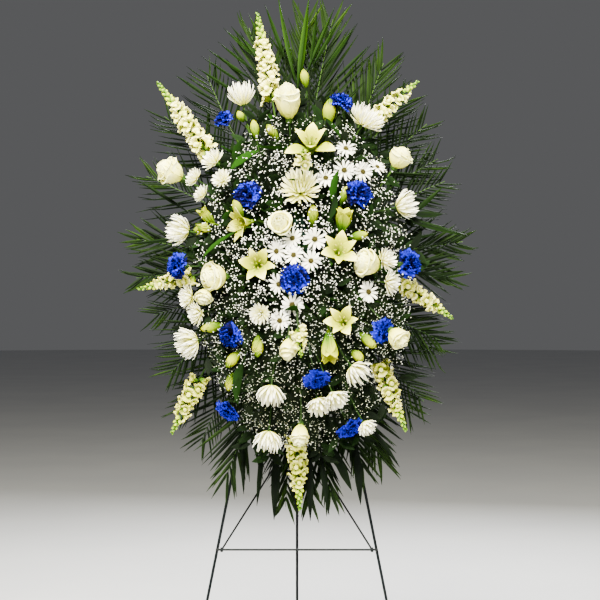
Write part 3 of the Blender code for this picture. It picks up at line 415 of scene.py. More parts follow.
# Blooms fuller or slimmer than their solids: across and along the axis, how much of their turn away from
# the viewer they keep and, for open lilies, where their first broad tepal points (degrees) and how far
# the broad tepals are thrown back while the narrow ones stand
FITTED = {
    ("lily", 35): (1.05, 0.85, 0.69, 90, 1.0),
    ("lily", -100): (0.92, 0.90, 1.0, 55, 0.1),
    ("lily", 108): (0.98, 0.85, 0.7, 81, 0.2),
    ("lily", 112): (0.92, 0.85, 0.5, 62, 0.2),
    ("rose", 8): (0.80, 1.05, 1.0, None, 0.0),
    ("rose", -22): (0.86, 1.25, 1.0, None, 0.0),
    ("rose", 250): (0.92, 1.0, 1.0, None, 0.0),
    ("rose", -310): (0.94, 1.0, 2.2, None, 0.0),
    ("mum", -138): (0.92, 1.15, 1.0, None, 0.0),
    ("trumpet", 82): (1.15, 1.50, 1.0, None, 0.0),
    ("trumpet", 118): (1.30, 1.10, 1.0, None, 0.0),
    ("spikelet", 14): (0.85, 0.72, 1.0, None, 0.0),
    ("bud", -140): (0.90, 0.62, 1.0, None, 0.0),
    ("bud", 80): (0.94, 0.92, 1.0, None, 0.0),
    ("bud", -232): (1.0, 1.15, 1.35, None, 0.0),
}
AS_ITS_SOLID = (1.0, 1.0, 1.0, None, 0.0)

# Small lilies that are just opening, where their solids are buds
OPENING = (-228, -232)


def linear(value):
    return value / 12.92 if value <= 0.04045 else ((value + 0.055) / 1.055) ** 2.4


def paint(code):
    """The linear colour of an sRGB hex value."""
    return tuple(linear(int(code[i : i + 2], 16) / 255) for i in (1, 3, 5)) + (1.0,)


def wired(tree, kind, inputs=(), **settings):
    """Adds a node with its settings, and a value or a link for each named input."""
    made = tree.nodes.new("ShaderNode" + kind)
    for name, value in settings.items():
        setattr(made, name, value)
    for name, value in dict(inputs).items():
        if isinstance(value, bpy.types.NodeSocket):
            tree.links.new(value, made.inputs[name])
        else:
            made.inputs[name].default_value = value
    return made


def finish_of(name, **sockets):
    """A Principled material with the sockets that are the same all over it."""
    made = bpy.data.materials.new(name)
    made.use_nodes = True
    shader = made.node_tree.nodes["Principled BSDF"]
    for socket, value in sockets.items():
        shader.inputs[socket.replace("_", " ")].default_value = value
    return made, made.node_tree, shader


def ramp(tree, factor, stops):
    """Colours along a factor, each stop a place and an sRGB hex value."""
    made = wired(tree, "ValToRGB", {"Fac": factor})
    elements = made.color_ramp.elements
    while len(elements) < len(stops):
        elements.new(0.5)
    for element, (place, code) in zip(elements, stops):
        element.position = place
        element.color = paint(code)
    return made.outputs["Color"]


def along_and_tone(tree):
    """How far along its petal or leaf a point is, how far across, and the tone of that copy."""
    uv = wired(tree, "UVMap", uv_map="petal")
    split = wired(tree, "SeparateXYZ", {"Vector": uv.outputs["UV"]})
    tone = wired(tree, "Attribute", attribute_name="tone")
    return split.outputs["Y"], split.outputs["X"], tone.outputs["Fac"], uv.outputs["UV"]


def reckon(tree, operation, first, second, third=None):
    made = tree.nodes.new("ShaderNodeMath")
    made.operation = operation
    for i, value in enumerate((first, second, third)):
        if isinstance(value, bpy.types.NodeSocket):
            tree.links.new(value, made.inputs[i])
        elif value is not None:
            made.inputs[i].default_value = value
    return made.outputs[0]


def ribbed(tree, shader, uv, across, strength, depth):
    """Fine veins that run along a petal or leaf, so many across its width, as a bump."""
    wide = wired(tree, "Mapping", {"Vector": uv, "Scale": (across, 0.6, 1.0)})
    veins = wired(
        tree,
        "TexNoise",
        {"Vector": wide.outputs["Vector"], "Scale": 3.0, "Detail": 2.0},
        noise_dimensions="2D",
    )
    bump = wired(
        tree,
        "Bump",
        {"Height": veins.outputs["Fac"], "Strength": strength, "Distance": depth},
    )
    tree.links.new(bump.outputs["Normal"], shader.inputs["Normal"])
    return veins.outputs["Fac"]


def petal_finish(name, stops, tone_share, veins, shine=0.2, rough=0.6, through=0.0, streak=0.16):
    """A petal: its colour runs from base to rim, each copy a little apart, with fine veins."""
    made, tree, shader = finish_of(
        name,
        Roughness=rough,
        IOR=1.42,
        Specular_IOR_Level=shine,
        Subsurface_Weight=through,
        Subsurface_Radius=(0.8, 1.0, 0.5),
        Subsurface_Scale=0.004,
    )
    along, _, tone, uv = along_and_tone(tree)
    grain = ribbed(tree, shader, uv, veins, 0.5, 0.0004)
    shifted = reckon(tree, "MULTIPLY_ADD", tone, tone_share, along)
    shifted = reckon(tree, "MULTIPLY_ADD", grain, streak, shifted)
    shifted = reckon(tree, "SUBTRACT", shifted, streak / 2)
    tree.links.new(ramp(tree, shifted, stops), shader.inputs["Base Color"])
    return made


def leaf_finish(name, stops, veins, rough, shine):
    """A leaf's waxy skin: tone differs from leaf to leaf, the veins catch the light, and painted shade darkens it down
    the middle fold, lighter towards the edges.
    """
    made, tree, shader = finish_of(
        name, Roughness=rough, IOR=1.45, Specular_IOR_Level=shine
    )
    along, across, tone, uv = along_and_tone(tree)
    grain = ribbed(tree, shader, uv, veins, 0.6, 0.0006)
    # Painted shade: the ramp runs darker down the middle fold and lighter towards the edges
    middle = reckon(tree, "ABSOLUTE", reckon(tree, "SUBTRACT", across, 0.5), 0.0)
    fold = reckon(tree, "MULTIPLY_ADD", middle, 0.5, tone)
    mixed = reckon(tree, "MULTIPLY_ADD", along, 0.25, fold)
    mixed = reckon(tree, "MULTIPLY_ADD", grain, 0.3, mixed)
    tree.links.new(ramp(tree, mixed, stops), shader.inputs["Base Color"])
    return made


def mottled(name, codes, size, rough, bump, **sockets):
    """A finish mottled by noise of this size in metres, on Object coordinates."""
    made, tree, shader = finish_of(name, Roughness=rough, **sockets)
    place = wired(tree, "TexCoord").outputs["Object"]
    noise = wired(tree, "TexNoise", {"Vector": place, "Scale": 1 / size, "Detail": 3.0})
    stops = [(0.35 + 0.3 * i / (len(codes) - 1), code) for i, code in enumerate(codes)]
    tree.links.new(ramp(tree, noise.outputs["Fac"], stops), shader.inputs["Base Color"])
    height = wired(
        tree,
        "Bump",
        {"Height": noise.outputs["Fac"], "Strength": 0.6, "Distance": bump},
    )
    tree.links.new(height.outputs["Normal"], shader.inputs["Normal"])
    return made, tree, shader


def foam_finish():
    """Phenolic foam soaked with water: dark green, open pores about 1 mm across."""
    made, tree, shader = mottled(
        "wet phenolic foam",
        ("#0c2116", "#173526"),
        0.006,
        0.9,
        0.0006,
        Specular_IOR_Level=0.05,
    )
    place = wired(tree, "TexCoord").outputs["Object"]
    pores = wired(tree, "TexVoronoi", {"Vector": place, "Scale": 700.0})
    dents = wired(
        tree,
        "Bump",
        {"Height": pores.outputs["Distance"], "Strength": 0.8, "Distance": 0.0008},
    )
    tree.links.new(dents.outputs["Normal"], shader.inputs["Normal"])
    return made


def finishes():
    """Every finish of the spray, by the short name that the pieces use."""
    made = {
        # Phoenix palm leaflets: thick waxy cuticle, deep green and yellower towards the tip, with painted shade down
        # the middle fold and lighter edges
        "palm": leaf_finish(
            "waxy palm leaflet",
            ((0.16, "#020702"), (0.52, "#071204"), (0.88, "#162803"), (1.0, "#2c4403")),
            10,
            0.65,
            0.06,
        ),
        # Long strap-like blades: dark and waxy, painted darker as shade where they hang low and yellow-green as painted
        # light up top
        "blade": leaf_finish(
            "strap leaf skin",
            ((0.12, "#010501"), (0.44, "#040e02"), (0.84, "#0e2200"), (1.0, "#203a00")),
            12,
            0.65,
            0.06,
        ),
        "leaf": leaf_finish(
            "lily leaf skin",
            ((0.10, "#020801"), (0.50, "#081a02"), (1.0, "#163407")),
            12,
            0.7,
            0.025,
        ),
        "stem": leaf_finish(
            "fresh stem skin",
            ((0.10, "#0c1c04"), (0.60, "#182e08"), (1.0, "#34500f")),
            4,
            0.6,
            0.12,
        ),
        # Leathery filler leaves and the twigs of baby's breath, painted nearly black as the shade between the heads
        "filler": leaf_finish(
            "leathery filler leaf",
            ((0.16, "#010501"), (0.56, "#040c02"), (1.0, "#0d1f06")),
            14,
            0.65,
            0.05,
        ),
        "twig": leaf_finish(
            "thin twig skin",
            ((0.10, "#030702"), (0.60, "#070e03"), (1.0, "#142008")),
            3,
            0.7,
            0.05,
        ),
        # Dyed carnation: royal blue, with painted shade darker down in the folds and a painted highlight on the paler
        # pinked rim
        "carnation": petal_finish(
            "dyed carnation petal",
            ((0.15, "#000006"), (0.55, "#010018"), (0.84, "#02003e"), (1.0, "#1616ac")),
            0.30,
            16,
            shine=0.08,
            rough=0.8,
        ),
        "rose": petal_finish(
            "cream rose petal",
            ((0.0, "#7c8c10"), (0.30, "#d8d844"), (0.75, "#f4f080"), (1.0, "#fcfcb4")),
            0.12,
            9,
            rough=0.5,
            through=0.12,
        ),
        "mum": petal_finish(
            "chrysanthemum petal",
            ((0.0, "#8c981c"), (0.32, "#dedc60"), (0.64, "#f4f2b8"), (1.0, "#fdfcf0")),
            0.10,
            3,
            rough=0.55,
            through=0.08,
        ),
        "daisy": petal_finish(
            "daisy petal",
            ((0.0, "#b8b860"), (0.25, "#f4f1d8"), (1.0, "#fdfcf4")),
            0.08,
            3,
            rough=0.55,
        ),
        "eye": petal_finish(
            "daisy disc floret",
            ((0.0, "#080a00"), (0.5, "#161602"), (1.0, "#3a3406")),
            0.40,
            2,
            rough=0.7,
        ),
        "lily": petal_finish(
            "lily tepal",
            ((0.0, "#2c5400"), (0.16, "#5c7600"), (0.42, "#8a9400"), (0.76, "#acae00"), (1.0, "#f2ee88")),
            0.10,
            12,
            shine=0.06,
            rough=0.6,
            through=0.10,
            streak=0.22,
        ),
        "bud": petal_finish(
            "lily bud skin",
            ((0.0, "#1c3a00"), (0.36, "#4c6800"), (0.68, "#808e00"), (0.90, "#9ea000"), (1.0, "#3c5800")),
            0.14,
            9,
            shine=0.04,
            rough=0.7,
            streak=0.55,
        ),
        "anther": petal_finish(
            "lily anther", ((0.0, "#7d7a1c"), (1.0, "#a89a2c")), 0.2, 2, rough=0.8
        ),
        # Greener towards each lip's base: partly the floret's own yellow-green throat, partly painted shade between the
        # florets
        "snapdragon": petal_finish(
            "snapdragon petal",
            ((0.0, "#3c6000"), (0.32, "#8c980c"), (0.68, "#d8d454"), (1.0, "#fbf8ac")),
            0.16,
            6,
            shine=0.08,
            rough=0.6,
            through=0.08,
        ),
        "snapdragon_bud": petal_finish(
            "snapdragon bud",
            ((0.0, "#2a5200"), (0.5, "#5c8200"), (1.0, "#b0bc20")),
            0.45,
            5,
            rough=0.5,
        ),
        # The greyer low stops colour the floret bases, and the florets low on the spray as painted shade
        "breath": petal_finish(
            "baby's breath floret",
            ((0.0, "#5c6246"), (0.25, "#a2a690"), (0.60, "#e8e9de"), (1.0, "#fcfcf6")),
            0.30,
            3,
            rough=0.6,
        ),
        "foam": foam_finish(),
    }
    # Baked enamel on drawn steel wire: a thin gloss skin over faint draw marks
    made["easel"] = mottled(
        "baked enamel on steel wire",
        ("#04080a", "#090e10"),
        0.02,
        0.55,
        0.0001,
        IOR=1.5,
        Specular_IOR_Level=0.08,
    )[0]
    made["weld"] = mottled(
        "enamel over a spot weld", ("#05090a", "#0b1113"), 0.002, 0.4, 0.0003, IOR=1.5
    )[0]
    made["cage"] = mottled(
        "moulded polypropylene", ("#06190b", "#0a2411"), 0.004, 0.5, 0.0001, IOR=1.49, Specular_IOR_Level=0.2
    )[0]
    made["tie"] = mottled(
        "green enamelled florist wire", ("#22331f", "#33482c"), 0.003, 0.4, 0.0001, IOR=1.5
    )[0]
    return made


def start(kind, **size):
    """A fresh primitive, alone in the selection, in edit mode with everything picked."""
    bpy.ops.object.select_all(action="DESELECT")
    getattr(bpy.ops.mesh, "primitive_" + kind + "_add")(**size)
    obj = bpy.context.object
    bpy.ops.object.transform_apply(location=True, rotation=True, scale=True)
    bpy.ops.object.mode_set(mode="EDIT")
    bpy.ops.mesh.select_mode(type="VERT")
    bpy.ops.mesh.select_all(action="SELECT")
    return obj


def pick(obj, wanted):
    """Picks, in edit mode, the corners whose number and place suit."""
    shape = bmesh.from_edit_mesh(obj.data)
    for corner in shape.verts:
        corner.select_set(False)
    for corner in shape.verts:
        if wanted(corner):
            corner.select_set(True)
    shape.select_flush_mode()
    bmesh.update_edit_mesh(obj.data)


def shift(by):
    bpy.ops.transform.translate(value=by)


def widen(by, about):
    bpy.ops.transform.resize(value=by, center_override=about)


def applied(obj, kind, **settings):
    """A modifier with its settings, applied."""
    modifier = obj.modifiers.new(kind.lower(), kind)
    for name, value in settings.items():
        setattr(modifier, name, value)
    bpy.ops.object.modifier_apply(modifier=modifier.name)


class Shape:
    """A finished template: its corners, its triangles and the place of each triangle's corners on the petal."""

    def __init__(self, obj, half=None, length=None, flip=False):
        mesh = obj.data
        mesh.calc_loop_triangles()
        count = len(mesh.loop_triangles)
        points = np.empty(len(mesh.vertices) * 3)
        mesh.vertices.foreach_get("co", points)
        self.points = points.reshape(-1, 3)
        faces = np.empty(count * 3, np.int64)
        mesh.loop_triangles.foreach_get("vertices", faces)
        self.faces = faces.reshape(-1, 3)
        low, high = self.points.min(0), self.points.max(0)
        half = half or max(1e-9, abs(self.points[:, 0]).max())
        length = length or high[2] - low[2]
        across = 0.5 + self.points[:, 0] / (2 * half)
        along = (self.points[:, 2] - low[2]) / length
        self.uv = np.stack([across, 1 - along if flip else along], 1)
        bpy.data.objects.remove(obj, do_unlink=True)


def sheet(columns, rows, thick, curl=0.0, ruffle=0.0, pinked=0.0, smooth=0):
    """A petal: a grid whose rows are widened and moved one by one, curled round, and given its thickness.

    rows run from base to rim: how far along, half the width, how far the row lies inwards.
    """
    count = len(rows)
    obj = start(
        "grid", x_subdivisions=columns, y_subdivisions=count - 1, size=2, rotation=(math.pi / 2, 0, 0)
    )
    wide = columns + 1
    for i, (along, half, inward) in enumerate(rows):
        z = 2 * i / (count - 1) - 1
        pick(obj, lambda corner, i=i: corner.index // wide == i)
        widen((half, 1, 1), (0, 0, z))
        shift((0, inward, along - z))
    if ruffle:
        for turn, sign in ((0, 1), (1, -1)):
            pick(obj, lambda c, t=turn: c.index // wide == count - 1 and c.index % wide % 2 == t)
            shift((0, sign * ruffle, -pinked * turn))
            pick(obj, lambda c, t=turn: c.index // wide == count - 2 and c.index % wide % 2 == t)
            shift((0, sign * ruffle * 0.5, 0))
    bpy.ops.object.mode_set(mode="OBJECT")
    if curl:
        applied(obj, "SIMPLE_DEFORM", deform_method="BEND", angle=curl, deform_axis="Z")
    applied(obj, "SOLIDIFY", thickness=thick, offset=0.0)
    if smooth:
        applied(obj, "SUBSURF", levels=smooth, render_levels=smooth)
    return Shape(obj)


def blade(rows, sides=4, fold=0.0, swerve=0.0):
    """A narrow leaf or petal: a small prism drawn out row by row.

    rows run from base to tip: how far along, half the width, half the thickness, how far inwards.
    """
    (first, half, thin, inward), rest = rows[0], rows[1:]
    step = 0.01
    obj = start(
        "cylinder", vertices=sides, radius=1, depth=step, location=(0, 0, step / 2), end_fill_type="NGON"
    )
    widen((half, thin, 1), (0, 0, 0))
    shift((0, inward, first))
    pick(obj, lambda corner: corner.co.z > first + step / 2)
    shift((0, 0, -step * 0.9))
    at = Vector((0, inward, first + step * 0.1))
    for along, wide, thick, inwards in rest:
        to = Vector((0, inwards, along))
        bpy.ops.mesh.extrude_region_move(TRANSFORM_OT_translate={"value": to - at})
        widen((wide / half, thick / thin, 1), to)
        half, thin, at = wide, thick, to
    if fold:
        pick(obj, lambda corner: abs(corner.co.x) < 1e-5)
        shift((0, -fold, 0))
    bpy.ops.object.mode_set(mode="OBJECT")
    if swerve:
        applied(obj, "SIMPLE_DEFORM", deform_method="BEND", angle=swerve, deform_axis="Y")
        bpy.ops.object.mode_set(mode="EDIT")
        bpy.ops.mesh.select_all(action="SELECT")
        bpy.ops.transform.rotate(value=swerve / 2, orient_axis="Y", center_override=(0, 0, 0))
        widen((1, 1, swerve / 2 / math.sin(swerve / 2)), (0, 0, 0))
        bpy.ops.object.mode_set(mode="OBJECT")
    return Shape(obj)


def turned(rows, sides):
    """A round shape drawn out from a prism: rows of how far along and how wide."""
    return blade([(along, wide, wide, 0.0) for along, wide in rows], sides)


LEAF_ROWS = (
    (0.0, 0.020, 0.008, 0.0),
    (0.14, 0.070, 0.006, 0.0),
    (0.36, 0.125, 0.006, -0.016),
    (0.62, 0.110, 0.005, -0.046),
    (0.84, 0.056, 0.004, -0.085),
    (1.0, 0.004, 0.003, -0.12),
)


def templates():
    """Every petal, leaf and floret that is copied, each for a bloom of radius 1."""
    made = {
        "leaflet": blade(
            (
                (0.0, 0.010, 0.006, 0.0),
                (0.12, 0.030, 0.005, 0.0),
                (0.40, 0.036, 0.005, -0.010),
                (0.72, 0.026, 0.004, -0.030),
                (1.0, 0.002, 0.002, -0.070),
            ),
            fold=0.012,
        ),
        "leaflet_bent": blade(
            (
                (0.0, 0.010, 0.006, 0.0),
                (0.12, 0.030, 0.005, 0.010),
                (0.40, 0.036, 0.005, 0.024),
                (0.72, 0.026, 0.004, 0.0),
                (0.97, 0.002, 0.002, -0.110),
            ),
            fold=0.012,
        ),
        "carnation": sheet(
            8,
            ((0.0, 0.10, 0.0), (0.45, 0.26, 0.03), (0.82, 0.50, -0.02), (1.0, 0.56, -0.12)),
            0.014,
            ruffle=0.07,
            pinked=0.09,
        ),
        "rose_heart": sheet(
            10,
            ((0.0, 0.20, 0.0), (0.50, 0.44, -0.06), (1.20, 0.46, -0.05), (1.62, 0.32, 0.05)),
            0.02,
            curl=math.radians(240),
        ),
        "rose": sheet(
            8,
            (
                (0.0, 0.16, 0.0),
                (0.35, 0.46, -0.20),
                (0.80, 0.66, -0.32),
                (1.22, 0.60, -0.25),
                (1.48, 0.42, -0.13),
                (1.58, 0.18, -0.08),
            ),
            0.02,
            curl=math.radians(130),
        ),
        "rose_outer": sheet(
            8,
            (
                (0.0, 0.18, 0.0),
                (0.35, 0.52, -0.22),
                (0.75, 0.74, -0.35),
                (1.15, 0.72, -0.33),
                (1.38, 0.54, -0.38),
                (1.40, 0.24, -0.50),
            ),
            0.02,
            curl=math.radians(115),
        ),
        "mum": blade(
            (
                (0.0, 0.025, 0.014, 0.0),
                (0.35, 0.050, 0.014, -0.06),
                (0.74, 0.064, 0.012, -0.06),
                (0.92, 0.040, 0.010, -0.01),
                (1.0, 0.005, 0.005, 0.03),
            ),
            fold=0.022,
        ),
        "small_mum": blade(
            (
                (0.0, 0.04, 0.016, 0.0),
                (0.35, 0.085, 0.016, -0.03),
                (0.75, 0.095, 0.014, -0.01),
                (0.94, 0.065, 0.012, 0.03),
                (1.0, 0.02, 0.008, 0.05),
            ),
            fold=0.025,
        ),
        "daisy": blade(
            (
                (0.0, 0.04, 0.012, 0.0),
                (0.35, 0.10, 0.014, 0.0),
                (0.75, 0.115, 0.012, 0.01),
                (0.95, 0.075, 0.010, -0.01),
                (1.0, 0.03, 0.008, -0.02),
            ),
            fold=0.02,
        ),
        "dome": turned(((0.0, 0.7), (0.30, 1.0), (0.75, 0.78), (1.0, 0.30)), 6),
        "tepal": sheet(
            6,
            (
                (0.0, 0.08, 0.0),
                (0.28, 0.17, -0.02),
                (0.54, 0.26, -0.08),
                (0.76, 0.22, -0.19),
                (0.92, 0.11, -0.34),
                (1.02, 0.005, -0.48),
            ),
            0.020,
            curl=math.radians(46),
            smooth=1,
        ),
        "tepal_narrow": sheet(
            6,
            (
                (0.0, 0.07, 0.0),
                (0.28, 0.12, -0.02),
                (0.54, 0.18, -0.09),
                (0.76, 0.15, -0.20),
                (0.92, 0.07, -0.34),
                (1.04, 0.005, -0.48),
            ),
            0.020,
            curl=math.radians(36),
            smooth=1,
        ),
        "tepal_closed": sheet(
            6,
            (
                (0.0, 0.10, 0.0),
                (0.30, 0.19, -0.06),
                (0.58, 0.28, -0.11),
                (0.80, 0.22, -0.13),
                (0.94, 0.10, -0.19),
                (1.04, 0.005, -0.25),
            ),
            0.020,
            curl=math.radians(70),
            smooth=1,
        ),
        "bud": turned(
            (
                (-2.20, 0.16),
                (-1.90, 0.34),
                (-1.20, 0.66),
                (-0.30, 0.93),
                (0.50, 1.00),
                (1.20, 0.84),
                (1.80, 0.54),
                (2.15, 0.28),
                (2.30, 0.10),
            ),
            12,
        ),
        "thread": turned(((0.0, 1.0), (0.5, 0.9), (1.0, 0.7)), 3),
        "grain": turned(((0.0, 0.5), (0.3, 1.0), (0.7, 1.0), (1.0, 0.4)), 5),
        "leaf": blade(LEAF_ROWS, fold=0.03),
        "leaf_curved": blade(LEAF_ROWS, fold=0.03, swerve=math.radians(48)),
        "oval_leaf": sheet(
            6,
            (
                (0.0, 0.03, 0.0),
                (0.18, 0.20, -0.02),
                (0.45, 0.29, -0.05),
                (0.72, 0.22, -0.10),
                (0.92, 0.09, -0.16),
                (1.0, 0.01, -0.20),
            ),
            0.010,
            curl=math.radians(30),
            ruffle=0.0,
        ),
        "grass_leaf": blade(
            (
                (0.0, 0.030, 0.010, 0.0),
                (0.30, 0.032, 0.008, 0.01),
                (0.70, 0.022, 0.006, -0.06),
                (1.0, 0.002, 0.003, -0.20),
            ),
            fold=0.008,
        ),
        "lip": sheet(
            6,
            ((0.0, 0.16, 0.0), (0.40, 0.24, -0.03), (0.78, 0.40, -0.08), (1.0, 0.38, -0.20)),
            0.03,
            curl=math.radians(50),
            ruffle=0.10,
            pinked=0.09,
        ),
        "throat": turned(((0.0, 0.16), (0.25, 0.26), (0.60, 0.24), (0.80, 0.20)), 6),
        "seed": turned(((0.0, 0.40), (0.35, 1.0), (0.75, 0.85), (1.0, 0.30)), 5),
        "floret": turned(((0.0, 0.30), (0.45, 0.95), (0.70, 1.0), (0.95, 0.60)), 6),
        "bead": turned(((-1.0, 0.2), (-0.7, 0.7), (0.0, 1.0), (0.7, 0.7), (1.0, 0.2)), 10),
    }
    return made


class Gathered:
    """Copies of templates, gathered by finish and made into one piece at the end."""

    def __init__(self):
        self.parts = []

    def add(self, shape, matrix, finish, tone=0.0):
        whole = np.array(matrix, float)
        points = shape.points @ whole[:3, :3].T + whole[:3, 3]
        self.parts.append((points, shape.faces, shape.uv, finish, tone))

    def make(self, name, body, finish_by_name, sharp=50.0):
        finishes_used = sorted({part[3] for part in self.parts})
        points = np.concatenate([part[0] for part in self.parts])
        firsts = np.cumsum([0] + [len(part[0]) for part in self.parts[:-1]])
        faces = np.concatenate([part[1] + first for part, first in zip(self.parts, firsts)])
        uv = np.concatenate([part[2] for part in self.parts])
        tone = np.concatenate([np.full(len(part[0]), part[4]) for part in self.parts])
        slots = np.concatenate(
            [np.full(len(part[1]), finishes_used.index(part[3])) for part in self.parts]
        )
        mesh = bpy.data.meshes.new(name)
        mesh.from_pydata(points, [], faces)
        layer = mesh.uv_layers.new(name="petal")
        layer.uv.foreach_set("vector", uv[faces.ravel()].astype(np.float32).ravel())
        attribute = mesh.attributes.new("tone", "FLOAT", "POINT")
        attribute.data.foreach_set("value", tone.astype(np.float32))
        for used in finishes_used:
            mesh.materials.append(finish_by_name[used])
        mesh.polygons.foreach_set("material_index", slots.astype(np.int32))
        mesh.polygons.foreach_set("use_smooth", np.ones(len(faces), bool))
        mesh.set_sharp_from_angle(angle=math.radians(sharp))
        mesh.update()
        obj = bpy.data.objects.new(name, mesh)
        bpy.context.scene.collection.objects.link(obj)
        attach(obj, body)
        return obj


def leaning():
    """From the spray's own coordinates to the room's."""
    place = Matrix.Translation((0, SPRAY_BACK, SPRAY_HEIGHT))
    return place @ Matrix.Rotation(-LEAN, 4, "X")


def seen(across, up, depth):
    """Where, in the spray's coordinates, a point this far in front of the frame shows at (across, up)."""
    above_eye = up + VIEW_DROP
    level = (
        above_eye * (1 - depth * math.cos(LEAN) / VIEW_DISTANCE)
        - VIEW_DROP
        - depth * math.sin(LEAN)
    )
    height = level / (math.cos(LEAN) - above_eye * math.sin(LEAN) / VIEW_DISTANCE)
    nearer = depth * math.cos(LEAN) - height * math.sin(LEAN)
    return Vector((across * (1 - nearer / VIEW_DISTANCE), -depth, height))


def dome(across, up):
    """How far in front of the frame the flowers' own surface lies at this place."""
    inside = 1 - (across / DOME_HALF_X) ** 2 - (up / DOME_HALF_Z) ** 2
    return DOME_EDGE + DOME_RISE * math.sqrt(max(0.0, inside))


def facing(across, up, turn, heading=None):
    """The way a head faces: outwards from the middle of the spray, or by its own heading."""
    if heading is None:
        side = Vector((across / FAN_HALF_X, up / FAN_HALF_Z)) * FAN_OUT * turn
    else:
        way = math.radians(heading)
        side = Vector((math.cos(way), math.sin(way))) * turn
    return Vector((side.x, -1.0, side.y)).normalized()


def stand(point, axis, roll=0.0):
    """The matrix that puts a shape's +Z along axis at point, turned by roll."""
    standing = axis.to_track_quat("Z", "Y").to_matrix().to_4x4()
    return Matrix.Translation(point) @ standing @ Matrix.Rotation(roll, 4, "Z")


def settled(corners, kind, across, up, radius, turn, heading, kept, points):
    """Where a head stands on its solid: on its line of sight, at the depth where its marks are found."""
    (out, along, angle), lobes, _ = MARKS[kind]
    axis = facing(across, up, turn, *heading)
    sunk = 0.030 if kind in ("leaf", "bud", "daisy") else 0.012
    best = None
    for step in range(RAISE_STEPS):
        at = seen(across, up, dome(across, up) - sunk + step * RAISE_STEP)
        standing = stand(at, axis)
        local = (corners - np.array(at)) @ np.array(standing.to_3x3())
        reach = np.hypot(local[:, 0], local[:, 1])
        miss = np.hypot(reach - out * radius, local[:, 2] - along * radius)
        nearest = np.argsort(miss)[:lobes]
        score = miss[nearest].mean()
        if best is None or score < best[0]:
            found = local[nearest[0]]
            roll = math.atan2(found[1], found[0]) - math.radians(angle)
            tipped = facing(across, up, turn * kept * TIPPED.get(kind, 1.0), *heading)
            best = (score, stand(at, tipped, roll if points is None else math.radians(points)))
    return best[1]


def round_axis(roll, lean, out=0.0, height=0.0, size=1.0, twist=0.0):
    """A petal's place in its bloom: turned round the axis, leant outwards from upright, and its size."""
    scale = Matrix.Diagonal((*size, 1.0)) if isinstance(size, tuple) else Matrix.Scale(size, 4)
    return (
        Matrix.Rotation(roll, 4, "Z")
        @ Matrix.Translation((0, -out, height))
        @ Matrix.Rotation(lean, 4, "X")
        @ Matrix.Rotation(twist, 4, "Z")
        @ scale
    )


def whorl(gathered, shape, place, count, lean, out, height, size, finish, draw, loose=0.1, turn=0.0, tone=0.0):
    """A ring of petals, each a little apart from the next."""
    for i in range(count):
        roll = 2 * math.pi * (i + turn) / count + draw.uniform(-loose, loose) * 3 / count
        own = lean + draw.uniform(-loose, loose) * 0.8
        twist = draw.uniform(-loose, loose) * 1.5
        spread = size * draw.uniform(1 - loose * 0.5, 1 + loose * 0.3)
        matrix = place @ round_axis(roll, own, out, height, spread, twist)
        gathered.add(shape, matrix, finish, tone + draw.uniform(-1, 1))


def carnation(gathered, shapes, place, draw, painted_light_tone):
    """Ruffled petals crowded into a ball over a green cup."""
    count = 46
    for i in range(count):
        share = (i + 0.5) / count
        lean = math.radians(6 + 88 * share**0.75) + draw.uniform(-0.08, 0.08)
        roll = i * 2.39996 + draw.uniform(-0.2, 0.2)
        size = 0.78 + 0.24 * share + draw.uniform(-0.04, 0.03)
        matrix = place @ round_axis(roll, lean, 0.05, -0.24, size, draw.uniform(-1.0, 1.0))
        # Each petal's tone carries its head's painted light or shade
        gathered.add(shapes["carnation"], matrix, "carnation", painted_light_tone + draw.uniform(-1, 1))
    for i in range(6):
        matrix = place @ round_axis(i * 1.05, -0.16 - 0.05 * i, 0.16, -0.20, 0.82, draw.uniform(-0.9, 0.9))
        gathered.add(shapes["carnation"], matrix, "carnation", painted_light_tone + draw.uniform(-1, 0.4))
    cup = Matrix.Translation((0, 0, -1.0)) @ Matrix.Diagonal((0.26, 0.26, 0.86, 1.0))
    gathered.add(shapes["dome"], place @ cup, "stem", 0.2)


def rose(gathered, shapes, place, draw):
    """A heart of rolled petals, two rings that open round it, and outer petals with rolled rims."""
    place = place @ Matrix.Diagonal((1.0, 1.0, 1.12, 1.0))
    for i in range(4):
        matrix = place @ round_axis(i * 1.7, 0.02 * i, 0.02 + 0.05 * i, -0.58, 1.0 + 0.01 * i)
        gathered.add(shapes["rose_heart"], matrix, "rose", draw.uniform(-1, 1))
    rings = (
        (3, 0.00, 0.10, -0.60, 1.02, "rose", 0.0),
        (4, 0.05, 0.18, -0.62, 1.02, "rose", 0.3),
        (4, 0.11, 0.24, -0.64, 1.00, "rose", 0.7),
        (5, 0.20, 0.24, -0.66, 0.98, "rose_outer", 0.2),
        (3, 0.42, 0.22, -0.66, 0.92, "rose_outer", 0.6),
    )
    for count, lean, out, height, size, shape, turn in rings:
        whorl(
            gathered, shapes[shape], place, count, lean, out, height, size, "rose", draw, 0.06, turn
        )
    cup = Matrix.Translation((0, 0, -0.90)) @ Matrix.Diagonal((0.36, 0.36, 0.48, 1.0))
    gathered.add(shapes["dome"], place @ cup, "stem", 0.3)
    for i in range(5):
        matrix = place @ round_axis(i * 1.2566, 1.2, 0.16, -0.52, 0.62)
        gathered.add(shapes["leaf"], matrix, "stem", draw.uniform(0, 0.4))


MUM_RINGS = {
    ("mum", False): ((18, 1.24, 1.12), (18, 1.02, 1.20), (16, 0.80, 1.22), (13, 0.56, 1.16), (10, 0.34, 1.04), (6, 0.14, 0.90)),
    ("mum", True): ((12, 0.92, 1.32), (12, 0.76, 1.48), (11, 0.60, 1.58), (8, 0.42, 1.58), (5, 0.22, 1.48)),
    ("small_mum", False): ((13, 1.26, 1.05), (13, 1.00, 1.10), (11, 0.72, 1.08), (8, 0.44, 0.98), (5, 0.16, 0.86)),
    ("small_mum", True): ((12, 0.98, 1.20), (12, 0.80, 1.34), (10, 0.60, 1.40), (7, 0.36, 1.40)),
}


